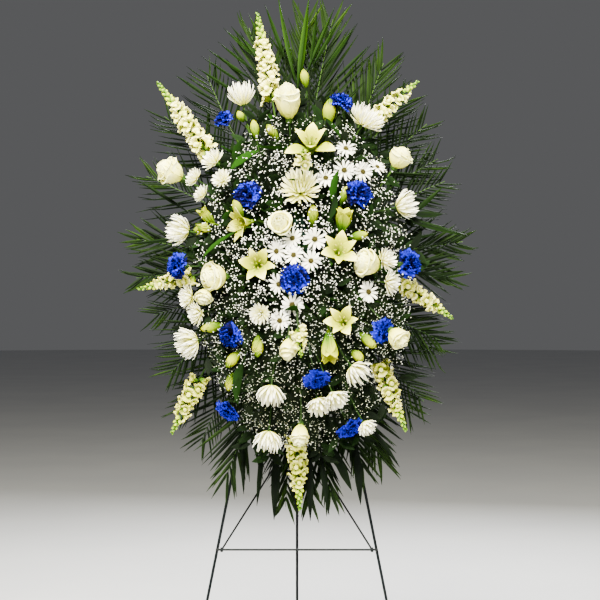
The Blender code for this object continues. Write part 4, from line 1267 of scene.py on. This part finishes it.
def chrysanthemum(gathered, shapes, place, draw, kind, cupped, cream):
    """Narrow petals in rings: flat at the rim and shorter in the middle, or all standing up as a cup."""
    rings = MUM_RINGS[kind, cupped]
    for i, (count, lean, size) in enumerate(rings):
        whorl(
            gathered, shapes[kind], place, count, lean, 0.05, -0.30, size, "mum", draw, 0.14, 0.5 * i, cream
        )
    cup = Matrix.Translation((0, 0, -0.36)) @ Matrix.Diagonal((0.26, 0.26, 0.36, 1.0))
    gathered.add(shapes["dome"], place @ cup, "stem", 0.2)


def daisy(gathered, shapes, place, draw):
    """Two rings of white rays round a low dome of disc florets."""
    place = place @ Matrix.Rotation(draw.uniform(-0.3, 0.3), 4, "X") @ Matrix.Rotation(draw.uniform(-0.3, 0.3), 4, "Y")
    for i, (count, lean, size) in enumerate(((12, 1.50, 0.99), (10, 1.28, 0.92))):
        whorl(
            gathered, shapes["daisy"], place, count, lean, 0.10, 0.02, size, "daisy", draw, 0.17, 0.5 * i
        )
    dome_place = Matrix.Translation((0, 0, 0.0)) @ Matrix.Diagonal((0.27, 0.27, 0.22, 1.0))
    gathered.add(shapes["dome"], place @ dome_place, "eye", -0.5)
    for i in range(40):
        out = 0.26 * math.sqrt((i + 0.5) / 40)
        lean = out * 2.4
        matrix = place @ round_axis(i * 2.39996, lean, out, 0.22 - out * out * 1.6, 0.05)
        gathered.add(shapes["seed"], matrix, "eye", draw.uniform(-0.4, 1))
    cup = Matrix.Translation((0, 0, -0.32)) @ Matrix.Diagonal((0.22, 0.22, 0.34, 1.0))
    gathered.add(shapes["dome"], place @ cup, "stem", 0.2)


def lily(gathered, shapes, place, draw, openness=1.0, finish="lily", back=0.0, tone=0.0):
    """Six tepals flared from a green throat, three broad over three narrow, with six stamens."""
    kinds = ("tepal", "tepal_narrow") if openness > 0.5 else ("tepal_closed", "tepal_closed")
    for i in range(6):
        shape = kinds[i % 2]
        lean = 0.27 * openness + draw.uniform(-0.07, 0.07)
        lean += back * (-0.20 if i % 2 else 0.38 if i else -0.04)
        roll = i * math.pi / 3 + math.pi / 2 + draw.uniform(-0.08, 0.08)
        size = 1.42 + draw.uniform(-0.06, 0.06)
        height = -1.00 if i % 2 else -0.93
        matrix = place @ round_axis(roll, lean, 0.05, height, size, draw.uniform(-0.16, 0.16))
        gathered.add(shapes[shape], matrix, finish, tone + draw.uniform(-1, 1))
    for i in range(6):
        lean = 0.30 + draw.uniform(-0.04, 0.04)
        roll = i * math.pi / 3 + 0.4
        matrix = place @ round_axis(roll, lean, 0.04, -0.80, (0.018, 0.018, 0.84))
        gathered.add(shapes["thread"], matrix, "bud", 0.2)
        tip = place @ round_axis(roll, lean, 0.04, -0.80) @ Matrix.Translation((0, 0.0, 0.84))
        laid = tip @ Matrix.Rotation(1.2, 4, "X") @ Matrix.Translation((0, 0, -0.09))
        gathered.add(shapes["grain"], laid @ Matrix.Diagonal((0.035, 0.035, 0.18, 1)), "anther")
    pistil = place @ Matrix.Translation((0, 0, -0.8)) @ Matrix.Diagonal((0.024, 0.024, 0.95, 1))
    gathered.add(shapes["thread"], pistil, "bud", 0.4)
    knob = place @ Matrix.Translation((0, 0, 0.12)) @ Matrix.Diagonal((0.05, 0.05, 0.06, 1))
    gathered.add(shapes["grain"], knob, "bud", 0.6)
    cup = Matrix.Translation((0, 0, -1.20)) @ Matrix.Diagonal((0.13, 0.13, 0.42, 1.0))
    gathered.add(shapes["dome"], place @ cup, "bud", -0.4)


def lily_bud(gathered, shapes, place, draw):
    gathered.add(shapes["bud"], place, "bud", draw.uniform(-1, 1))


def snapdragon_floret(gathered, shapes, place, size, draw, painted_shade):
    """A closed throat with two lips above and three below, ruffled."""
    scale = Matrix.Scale(size, 4)
    # The whole floret is painted darker and greener by how far its spike lies in painted shade
    gathered.add(shapes["throat"], place @ scale, "snapdragon", draw.uniform(-1, 0) - painted_shade)
    for roll, lean, own in (
        (0.45, 0.75, 0.72),
        (-0.45, 0.75, 0.72),
        (math.pi, 1.05, 0.66),
        (math.pi - 0.85, 1.05, 0.60),
        (math.pi + 0.85, 1.05, 0.60),
    ):
        matrix = round_axis(
            roll + math.pi, lean + draw.uniform(-0.15, 0.15), 0.10, 0.42, own, draw.uniform(-0.2, 0.2)
        )
        gathered.add(shapes["lip"], place @ scale @ matrix, "snapdragon", draw.uniform(-1, 1) - painted_shade)


def snapdragon(gathered, shapes, place, radius, length, draw, painted_shade=0.0, open_share=0.68):
    """A spike: open florets up its lower part, then buds that shrink and turn green to the tip."""
    steps = [0.01]
    while steps[-1] < 0.985:
        steps.append(steps[-1] + (0.0072 if steps[-1] < open_share else 0.0034) / length)
    for i, along in enumerate(steps):
        roll = i * 2.39996 + draw.uniform(-0.25, 0.25)
        wide = radius * (1 - 0.80 * along**1.6)
        up = along * length * 0.97
        if along < open_share:
            size = 0.64 * radius * (1.10 - 0.46 * along) * draw.uniform(0.88, 1.12)
            lean = 1.16 - 0.30 * along + draw.uniform(-0.18, 0.18)
            at = place @ round_axis(roll, lean, 0.1 * radius, up - 0.2 * radius)
            snapdragon_floret(gathered, shapes, at, size * 1.25, draw, painted_shade)
            cup = at @ Matrix.Diagonal((0.22 * size, 0.22 * size, 0.35 * size, 1))
            gathered.add(shapes["seed"], cup, "snapdragon_bud", -0.6)
        else:
            late = (along - open_share) / (1 - open_share)
            size = radius * (0.50 - 0.27 * late)
            at = place @ round_axis(roll, 0.85 - 0.40 * late, 0.08 * wide, up - 0.1 * wide)
            long = at @ Matrix.Diagonal((size * 0.36, size * 0.36, size * 0.95, 1))
            gathered.add(shapes["seed"], long, "snapdragon_bud", 0.8 - 1.6 * late)
    rod = place @ Matrix.Diagonal((0.07 * radius, 0.07 * radius, length * 0.99, 1))
    gathered.add(shapes["thread"], rod, "stem", 0.3)


def curve_shape(lines, sides=1):
    """Bevelled curves along lines of (point, radius), made one template."""
    data = bpy.data.curves.new("lines", "CURVE")
    data.dimensions = "3D"
    data.bevel_depth = 1.0
    data.bevel_resolution = sides
    data.use_fill_caps = True
    for line in lines:
        spline = data.splines.new("POLY")
        spline.points.add(len(line) - 1)
        for point, (place, radius) in zip(spline.points, line):
            point.co = (*place, 1)
            point.radius = radius
    obj = bpy.data.objects.new("lines", data)
    bpy.context.scene.collection.objects.link(obj)
    bpy.ops.object.select_all(action="DESELECT")
    obj.select_set(True)
    bpy.context.view_layer.objects.active = obj
    bpy.ops.object.convert(target="MESH")
    return Shape(bpy.context.object)


def bowed(start_at, towards, before, end, count=9):
    """Points on one smooth curve from start_at, heading for towards, and arriving by way of before."""
    points = []
    for i in range(count):
        t = i / (count - 1)
        s = 1 - t
        points.append(
            start_at * s**3 + towards * (3 * s * s * t) + before * (3 * s * t * t) + end * t**3
        )
    return points


def stem_line(place, neck, axis, radius, draw):
    """A stem from inside the foam to a head's neck."""
    hub = Vector((place[0] * MM, -HUB_DEPTH, place[1] * MM))
    loose = Vector((draw.uniform(-1, 1), 0, draw.uniform(-1, 1))) * 0.004
    root = hub + Vector((0, HUB_DEPTH - FOAM_FRONT + STEM_DEPTH, 0)) + loose
    reach = (neck - hub).length
    lead = min(0.4 * reach, 0.09)
    towards = hub + loose + (neck - axis * lead - hub) * 0.35
    points = bowed(root, towards, neck - axis * lead, neck)
    return [(p, radius * (1.1 - 0.25 * i / len(points))) for i, p in enumerate(points)]


def leaves_on(gathered, shapes, line, kind, count, size, draw, first=0.30, last=0.74):
    """Leaves up a stem, each turned on from the last."""
    for i in range(count):
        share = first + (last - first) * (i + draw.uniform(0.2, 0.8)) / count
        at = share * (len(line) - 1)
        low = line[int(at)][0]
        high = line[min(int(at) + 1, len(line) - 1)][0]
        point = low.lerp(high, at - int(at))
        way = (high - low).normalized()
        place = stand(point, way, draw.uniform(0, 2 * math.pi))
        lean = draw.uniform(0.5, 1.1)
        own = size * draw.uniform(0.7, 1.1)
        gathered.add(shapes[kind], place @ round_axis(0, lean, 0.0, 0.0, own), "leaf", draw.uniform(0, 0.6))


STEMS = {
    "carnation": (0.0019, "grass_leaf", 5, 0.085),
    "rose": (0.0023, "oval_leaf", 5, 0.055),
    "mum": (0.0021, "oval_leaf", 4, 0.050),
    "small_mum": (0.0016, "oval_leaf", 2, 0.040),
    "daisy": (0.0013, "oval_leaf", 2, 0.032),
    "lily": (0.0026, "leaf", 5, 0.095),
    "trumpet": (0.0026, "leaf", 4, 0.095),
    "bud": (0.0016, "leaf", 2, 0.060),
    "spikelet": (0.0022, "leaf", 4, 0.055),
    "leaf": (0.0013, "leaf", 0, 0.0),
}


def corners_of(node):
    """The solid's corners in the spray's coordinates."""
    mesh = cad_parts[node].data
    points = np.empty(len(mesh.vertices) * 3)
    mesh.vertices.foreach_get("co", points)
    back = np.array(leaning().inverted())
    return points.reshape(-1, 3) @ back[:3, :3].T + back[:3, 3]


def lean_all(gathered):
    """Turns what was placed in the spray's coordinates into the room's."""
    whole = np.array(leaning())
    gathered.parts = [
        (part[0] @ whole[:3, :3].T + whole[:3, 3], *part[1:]) for part in gathered.parts
    ]


def finished(gathered, name, node, made):
    """Leans a gathered piece back with the frame and puts it in the place of its solid."""
    lean_all(gathered)
    piece = gathered.make(name, "spray", made)
    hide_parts(node)
    return piece


def bunches(shapes, made, draw):
    """Every bunch as one piece: its heads, and their stems with leaves. Returns where the heads are."""
    taken = []
    for node, (place, heads) in BUNCHES.items():
        corners = corners_of(node)
        gathered = Gathered()
        lines = []
        for kind, across, up, radius, turn, *heading in heads:
            across_by, along_by, kept, points, back = FITTED.get((kind, across), AS_ITS_SOLID)
            opening = kind == "bud" and across in OPENING
            across, up, radius = across * MM, up * MM, radius * MM
            matrix = settled(corners, kind, across, up, radius, turn, heading, kept, points)
            axis = matrix.to_3x3() @ Vector((0, 0, 1))
            sized = matrix @ Matrix.Scale(radius, 4)
            neck_share = MARKS[kind][2]
            cupped = turn >= CUPPED_FROM.get(kind, 9.0)
            if cupped:
                sized = sized @ Matrix.Translation((0, 0, -0.40))
                neck_share -= 0.40
            neck = matrix @ Vector((0, 0, neck_share * radius))
            thick, leaf_kind, count, leaf_size = STEMS[kind]
            line = stem_line(place, neck, axis, thick, draw)
            lines.append(line)
            leaves_on(gathered, shapes, line, leaf_kind, count, leaf_size, draw)
            if kind != "leaf":
                taken.append((matrix.translation.copy(), radius))
            sized = sized @ Matrix.Diagonal((across_by, across_by, along_by, 1.0))
            if kind == "carnation":
                if turn > FLAT_FROM:
                    sized = sized @ Matrix.Diagonal((1.0, 1.0, 0.62, 1.0))
                # Heads turned away towards the rim are painted lighter, as lit; the others are painted darker
                carnation(gathered, shapes, sized, draw, 0.35 if turn > 1.0 else -0.25)
            elif kind == "rose":
                rose(gathered, shapes, sized, draw)
            elif kind in ("mum", "small_mum"):
                chrysanthemum(gathered, shapes, sized, draw, kind, cupped, -2.0 if turn < 0.5 else 0.0)
            elif kind == "daisy":
                daisy(gathered, shapes, sized, draw)
            elif kind == "lily":
                lily(gathered, shapes, sized, draw, 1.0, "lily", back)
            elif kind == "trumpet":
                lily(gathered, shapes, sized, draw, 0.25, tone=-2.2)
            elif opening:
                slim = Matrix.Diagonal((2.3, 2.3, 3.3, 1.0))
                lily(gathered, shapes, sized @ slim, draw, 0.2, "bud")
            elif kind == "bud":
                lily_bud(gathered, shapes, sized, draw)
            elif kind == "spikelet":
                snapdragon(gathered, shapes, matrix, radius * across_by, radius * 2.9 * along_by, draw)
            else:
                narrow = Matrix.Diagonal((0.88, 1.0, 1.0, 1.0))
                # Leaves are painted lighter the higher they stand, as lit from above
                gathered.add(shapes["leaf_curved"], sized @ narrow, "leaf", max(0.0, 0.3 + up))
        gathered.add(curve_shape(lines), Matrix.Identity(4), "stem", 0.2)
        finished(gathered, node + "_blooms", node, made)
    return taken


def long_blades(gathered, shapes, lines, draw):
    """Single long blades: hanging ones painted dark as shade, rising ones painted bright as light falling on them, and
    lily leaves on the face.
    """
    for low_x, low_up, tip_x, tip_up, wide, tone, finish in LONG_BLADES:
        on_face = finish == "leaf"
        low, tip = (low_x * MM, low_up * MM), (tip_x * MM, tip_up * MM)
        if on_face:
            base = seen(*low, dome(*low) - 0.012)
            end = seen(*tip, dome(*tip) + 0.004)
        else:
            base = seen(*low, 0.072)
            end = seen(*tip, frond_depth(tip, 4))
        hub = Vector((max(-0.05, min(0.05, base.x)), -0.085, max(-0.1, min(0.1, base.z))))
        points = bowed(hub, hub.lerp(base, 0.4), base.lerp(end, -0.2), base, 6)
        lines.append([(p, 0.0013) for p in points])
        way = (end - base).normalized()
        front = (Vector((0, -1, 0)) + Vector([draw.uniform(-0.3, 0.3) for _ in range(3)])).normalized()
        sidewards = way.cross(front).normalized()
        front = sidewards.cross(way).normalized()
        turned_to = Matrix((sidewards, -front, way)).transposed().to_4x4()
        length = (end - base).length
        size = Matrix.Diagonal((wide * MM * 4.0, length * 0.6, length, 1))
        kind = "leaf_curved" if on_face else "leaf"
        # The listed tone carries each blade's painted light or shade
        gathered.add(shapes[kind], Matrix.Translation(base) @ turned_to @ size, finish, tone)


def spikes(shapes, made, draw):
    """The snapdragons round the rim."""
    taken = []
    for name, entry, low, tip, radius, depth, painted_shade in SPIKES:
        node = "snapdragon_" + name
        base = seen(low[0] * MM, low[1] * MM, depth * MM)
        end = seen(tip[0] * MM, tip[1] * MM, depth * MM)
        door = Vector((entry[0] * MM, -SPIKE_ENTRY_DEPTH, entry[1] * MM))
        foot = door + (door - base).normalized() * STEM_DEPTH
        axis = (end - base).normalized()
        gathered = Gathered()
        snapdragon(gathered, shapes, stand(base, axis), radius * MM, (end - base).length, draw, painted_shade)
        line = [(p, 0.0022) for p in bowed(foot, foot.lerp(base, 0.4), base - axis * 0.05, base)]
        leaves_on(gathered, shapes, line, "leaf", 6, 0.055, draw, 0.4)
        gathered.add(curve_shape([line]), Matrix.Identity(4), "stem", 0.2)
        finished(gathered, node + "_spike", node, made)
        for i in range(6):
            taken.append((base.lerp(end, i / 6), radius * MM * 0.8))
    return taken


def frond_depth(point, layer):
    """Depth of a frond's surface: each layer is the same shallow cup, one step further forward."""
    far = math.hypot(point[0], point[1]) / 0.65
    over_top = max(0.0, point[1] - 0.28) / 0.35
    over_side = max(0.0, abs(point[0]) - 0.22) / 0.21
    arch = 0.034 * over_top**2 + 0.020 * over_side**2
    return FROND_FIRST_LAYER + layer * FROND_LAYER + FROND_CUP * far * far - arch


def fronds(shapes, made, draw):
    """Palm fronds: a tapered rib with close pairs of folded leaflets, longest along its middle."""
    behind = len(FRONDS)
    for number, (name, entry, tip, bow, longest) in enumerate(FRONDS + FRONDS_BEHIND):
        layer = number % FROND_LAYERS if number < behind else (number - behind) % 3 * 1.5 + 0.5
        depth = FROND_FIRST_LAYER + layer * FROND_LAYER
        door = Vector((entry[0] * MM, entry[1] * MM))
        shown = seen(tip[0] * MM, tip[1] * MM, depth)
        end = Vector((shown.x, shown.z))
        way = (end - door).normalized()
        side = Vector((-way.y, way.x))
        inner = door - way * STEM_DEPTH
        length = (end - inner).length
        level = abs(tip[1]) < 60
        blades = level or abs(tip[1]) > 500

        def spot(along):
            bowed_by = math.sin(math.pi * along) * bow * MM
            return inner + way * length * along + side * bowed_by

        def lifted(point, forward=0.0):
            return Vector((point.x, -(frond_depth(point, layer) + forward), point.y))

        gathered = Gathered()
        rib = []
        for i in range(13):
            along = 0.96 * i / 12
            rib.append((lifted(spot(along)), 0.0022 * (1 - 0.75 * along)))
        gathered.add(curve_shape([rib], 2), Matrix.Identity(4), "stem", 0.3)
        pairs = PAIRS - 6 if level else PAIRS
        for i in range(pairs):
            share = (i + 0.5) / pairs
            along = 0.22 + 0.71 * share
            body_share = (along - 0.30) / 0.54
            shape_share = min(1.0, max(0.0, body_share))
            reach = longest * MM * (0.62 + 0.38 * math.sin(math.pi * min(1.0, shape_share * 1.25)))
            reach *= 1 - 0.22 * shape_share**3
            if body_share > 1:
                reach *= 1 - 0.30 * (body_share - 1) / 0.3
            if body_share < 0:
                reach *= 1 + 0.5 * body_share
            open_by = math.radians(54 - 23 * min(1.15, max(-0.2, body_share)))
            if blades:
                open_by *= 0.72
                reach *= 0.98 if level else 1.10
            base = spot(along)
            for sign in (1, -1):
                own = reach * draw.uniform(0.84, 1.04)
                own_open = open_by + draw.uniform(-0.13, 0.13)
                ahead = way * math.cos(own_open) + side * sign * math.sin(own_open)
                foot = lifted(base)
                point = lifted(base + ahead * own, draw.uniform(-0.014, 0.010))
                direction = (point - foot).normalized()
                front = Vector((0, -1, 0)) + Vector((side.x, 0, side.y)) * sign * draw.uniform(-0.5, 0.2)
                sidewards = direction.cross(front).normalized()
                front = sidewards.cross(direction).normalized()
                turned_to = Matrix((sidewards, -front, direction)).transposed().to_4x4()
                wide = draw.uniform(0.085, 0.125) if blades else draw.uniform(0.058, 0.082)
                place = (
                    Matrix.Translation(foot)
                    @ turned_to
                    @ Matrix.Diagonal((wide, 0.13, (point - foot).length, 1.0))
                )
                kind = "leaflet_bent" if draw.random() < 0.35 else "leaflet"
                tone = 0.05 + 0.30 * draw.random() ** 2 + (0.12 if share > 0.8 else 0)
                # Fronds at the top, all but the left ones, are painted a shade lighter, as lit from above
                tone += 0.10 if "top" in name and "left" not in name else 0
                gathered.add(shapes[kind], place, "palm", tone)
        node = "palm_frond_" + name
        if number < behind:
            finished(gathered, node + "_leaflets", node, made)
        else:
            lean_all(gathered)
            gathered.make(node, "spray", made)


PAIRS = 24


def clear_of(taken):
    """A test for places that lie in no head, nor between the viewer's eye and one."""
    eye = leaning().inverted() @ Vector(
        (0, SPRAY_BACK - VIEW_DISTANCE, SPRAY_HEIGHT - VIEW_DROP)
    )
    middles = np.array([np.array(place - eye) for place, _ in taken])
    radii = np.array([radius for _, radius in taken])
    ranges = np.linalg.norm(middles, axis=1)

    def clear(place, room=0.85):
        way = np.array(place - eye)
        far = np.linalg.norm(way)
        along = middles @ way / far
        aside = np.sqrt(np.maximum(0, ranges**2 - along**2))
        before = (aside < room * radii) & (far < ranges + 0.3 * radii)
        inside = np.linalg.norm(middles - way, axis=1) < 0.95 * radii
        return not (before | inside).any()

    return clear


def scattered(count, apart, draw):
    """Places over the spray's face, in mm as seen, never closer together than apart."""
    found = []
    tries = 0
    while len(found) < count and tries < 60000:
        tries += 1
        across, up = draw.uniform(-250, 290), draw.uniform(-480, 370)
        if ((across - 18) / 262) ** 2 + ((up + 52) / 420) ** 2 > 1:
            continue
        if all((across - x) ** 2 + (up - y) ** 2 > apart * apart for x, y in found):
            found.append((across, up))
    return found


def breath(shapes, made, taken, draw):
    """Baby's breath: tiny double florets on threads that part from thin twigs, all over the face."""
    places = scattered(430, 18.5, draw)
    clear = clear_of(taken)
    for node, (place, _) in BREATH.items():
        gathered = Gathered()
        hub = Vector((place[0] * MM, -HUB_DEPTH + 0.03, place[1] * MM))
        lines = []
        for across, up in places:
            side = "left" if across < 5 else "right"
            level = "upper" if up > 0 else "lower"
            if node != "babys_breath_" + level + "_" + side:
                continue
            across, up = across * MM, up * MM
            centre = seen(across, up, dome(across, up) - draw.uniform(0.0, 0.040))
            outwards = (centre - hub).normalized()
            fork = centre - outwards * draw.uniform(0.035, 0.055)
            points = bowed(hub, hub.lerp(fork, 0.4) + Vector((0, -0.01, 0)), fork - outwards * 0.03, fork, 6)
            lines.append([(p, 0.0008 - 0.0001 * i) for i, p in enumerate(points)])
            spread = draw.uniform(0.018, 0.031)
            for _ in range(draw.randint(9, 23)):
                around = Vector([draw.gauss(0, 1) for _ in range(3)]).normalized()
                at = centre + around * spread * draw.random() ** 0.5
                if not clear(at):
                    continue
                half_way = fork.lerp(at, 0.5) + around * 0.004
                lines.append([(fork, 0.0003), (half_way, 0.00028), (at, 0.00025)])
                # Lower down the florets are drawn smaller and painted darker as shade
                lower = max(0.0, min(1.0, (0.05 - up) / 0.45))
                size = draw.choice((0.0021, 0.0018, 0.0015, 0.0013, 0.0011, 0.0009)) * (1 - 0.28 * lower)
                floret = stand(at, (at - half_way).normalized(), draw.uniform(0, 6.28))
                floret = floret @ Matrix.Diagonal((size, size, size * 1.15, 1))
                gathered.add(shapes["floret"], floret, "breath", draw.uniform(-1, 1) - 1.2 * lower)
        gathered.add(curve_shape(lines, 0), Matrix.Identity(4), "twig", 0.2)
        finished(gathered, node + "_florets", node, made)


def greens(shapes, made, taken, draw):
    """Filler foliage between the heads and the palms: arched stems of leathery leaves, set both sides, painted nearly
    black as shade.
    """
    places = scattered(110, 46, draw)
    clear = clear_of(taken)
    gathered = Gathered()
    lines = []
    for across, up in places:
        across, up = across * MM * 1.10, up * MM * 1.10
        hub = Vector((max(-0.05, min(0.05, across * 0.25)), -HUB_DEPTH + 0.03, max(-0.1, min(0.1, up * 0.25))))
        end = seen(across, up, dome(across, up) - draw.uniform(0.030, 0.060))
        middle = hub.lerp(end, 0.5) + Vector((0, -0.02, 0))
        points = bowed(hub, middle, end.lerp(hub, 0.2) + Vector((0, 0.01, 0)), end, 10)
        lines.append([(p, 0.0014 - 0.0001 * i) for i, p in enumerate(points)])
        way = (end - hub).normalized()
        count = int((end - hub).length / 0.0125)
        for i in range(3, count + 1):
            share = i / count
            at = points[min(9, int(share * 9))].lerp(points[min(9, int(share * 9) + 1)], share * 9 % 1)
            side = way.cross(Vector((0, 1, 0))).normalized() * (1 if i % 2 else -1)
            pointing = (way * 0.75 + side + Vector([draw.uniform(-0.3, 0.3) for _ in range(3)])).normalized()
            front = (Vector((0, -1, 0)) + Vector([draw.uniform(-0.5, 0.5) for _ in range(3)])).normalized()
            sidewards = pointing.cross(front).normalized()
            front = sidewards.cross(pointing).normalized()
            turned_to = Matrix((sidewards, -front, pointing)).transposed().to_4x4()
            size = draw.uniform(0.034, 0.052)
            if not (clear(at, 1.0) and clear(at + pointing * size * 0.6) and clear(at + pointing * size)):
                continue
            leaf = Matrix.Translation(at) @ turned_to @ Matrix.Diagonal((size * 1.5, size, size, 1))
            # Filler leaves painted nearly black as the shade between the heads
            gathered.add(shapes["leaf"], leaf, "filler", draw.uniform(-0.1, 0.6))
    long_blades(gathered, shapes, lines, draw)
    gathered.add(curve_shape(lines, 1), Matrix.Identity(4), "twig", 0.2)
    lean_all(gathered)
    gathered.make("filler_foliage", "spray", made)


def weld_beads(shapes, made):
    """A small bead of weld between each crossbar's ends and the legs."""
    gathered = Gathered()
    for level in ("lower", "middle", "upper"):
        corners = corners_of(level + "_crossbar")
        middle = (corners.min(0) + corners.max(0)) / 2
        for end in (corners[:, 0].min() + LEG_RADIUS, corners[:, 0].max() - LEG_RADIUS):
            place = Matrix.Translation((end, middle[1] + BAR_RADIUS, middle[2]))
            bead = place @ Matrix.Diagonal((0.0040, 0.0026, 0.0034, 1.0))
            gathered.add(shapes["bead"], bead, "weld")
    lean_all(gathered)
    gathered.make("weld_beads", "spray", made)


def stage_and_view(made):
    """A plain pale floor, soft studio light and the photograph's view."""
    data = bpy.data.cameras.new("view")
    data.sensor_width = SENSOR
    data.lens = SENSOR * VIEW_DISTANCE / VIEW_WIDTH
    camera = bpy.data.objects.new("view", data)
    bpy.context.scene.collection.objects.link(camera)
    camera.location = (VIEW_SHIFT, SPRAY_BACK - VIEW_DISTANCE, SPRAY_HEIGHT - VIEW_DROP)
    camera.rotation_euler = (math.pi / 2, 0, 0)
    bpy.context.scene.camera = camera
    bpy.ops.object.select_all(action="DESELECT")
    bpy.ops.mesh.primitive_circle_add(vertices=64, radius=30, fill_type="NGON")
    floor = bpy.context.object
    floor.name = "floor"
    floor.data.materials.append(
        mottled("pale matt floor", ("#cbccce", "#d0d1d2"), 0.8, 0.85, 0.0001)[0]
    )
    world = bpy.data.worlds.new("studio")
    world.use_nodes = True
    sky = world.node_tree.nodes["Background"]
    sky.inputs["Color"].default_value = paint("#d2d3d6")
    sky.inputs["Strength"].default_value = 0.16
    bpy.context.scene.world = world
    for name, place, size, power, tint in (
        ("key", (-0.4, -1.9, 3.35), 1.4, 960, "#fef9e6"),
        ("fill", (1.7, -3.2, 2.5), 2.2, 120, "#ffffff"),
        ("back", (0.6, 3.0, 3.0), 2.4, 400, "#ffffff"),
    ):
        light = bpy.data.lights.new(name, "AREA")
        light.size = size
        light.energy = power
        light.color = paint(tint)[:3]
        lamp = bpy.data.objects.new(name, light)
        bpy.context.scene.collection.objects.link(lamp)
        lamp.location = place
        aim = Vector((0, 0, 1.2)) - Vector(place)
        lamp.rotation_euler = aim.to_track_quat("-Z", "Y").to_euler()


def main():
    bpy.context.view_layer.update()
    draw = random.Random(SEED)
    made = finishes()
    stage_and_view(made)
    shapes = templates()
    for node, finish in (
        ("floral_foam", "foam"),
        ("foam_cage", "cage"),
        ("upper_tie", "tie"),
        ("lower_tie", "tie"),
    ):
        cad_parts[node].data.materials.clear()
        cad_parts[node].data.materials.append(made[finish])
    for node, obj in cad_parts.items():
        if node in ("back_leg", "hinge_bar") or node.startswith(("front_leg", "stay_arm")) or node.endswith("crossbar"):
            obj.data.materials.clear()
            obj.data.materials.append(made["easel"])
    fronds(shapes, made, draw)
    taken = bunches(shapes, made, draw)
    taken += spikes(shapes, made, draw)
    greens(shapes, made, taken, draw)
    breath(shapes, made, taken, draw)
    weld_beads(shapes, made)


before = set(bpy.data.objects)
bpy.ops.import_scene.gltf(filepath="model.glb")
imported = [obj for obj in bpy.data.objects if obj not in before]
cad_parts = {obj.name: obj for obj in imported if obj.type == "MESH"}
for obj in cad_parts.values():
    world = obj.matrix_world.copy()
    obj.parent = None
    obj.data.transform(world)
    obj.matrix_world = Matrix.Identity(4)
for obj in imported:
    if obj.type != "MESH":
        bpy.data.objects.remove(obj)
main()
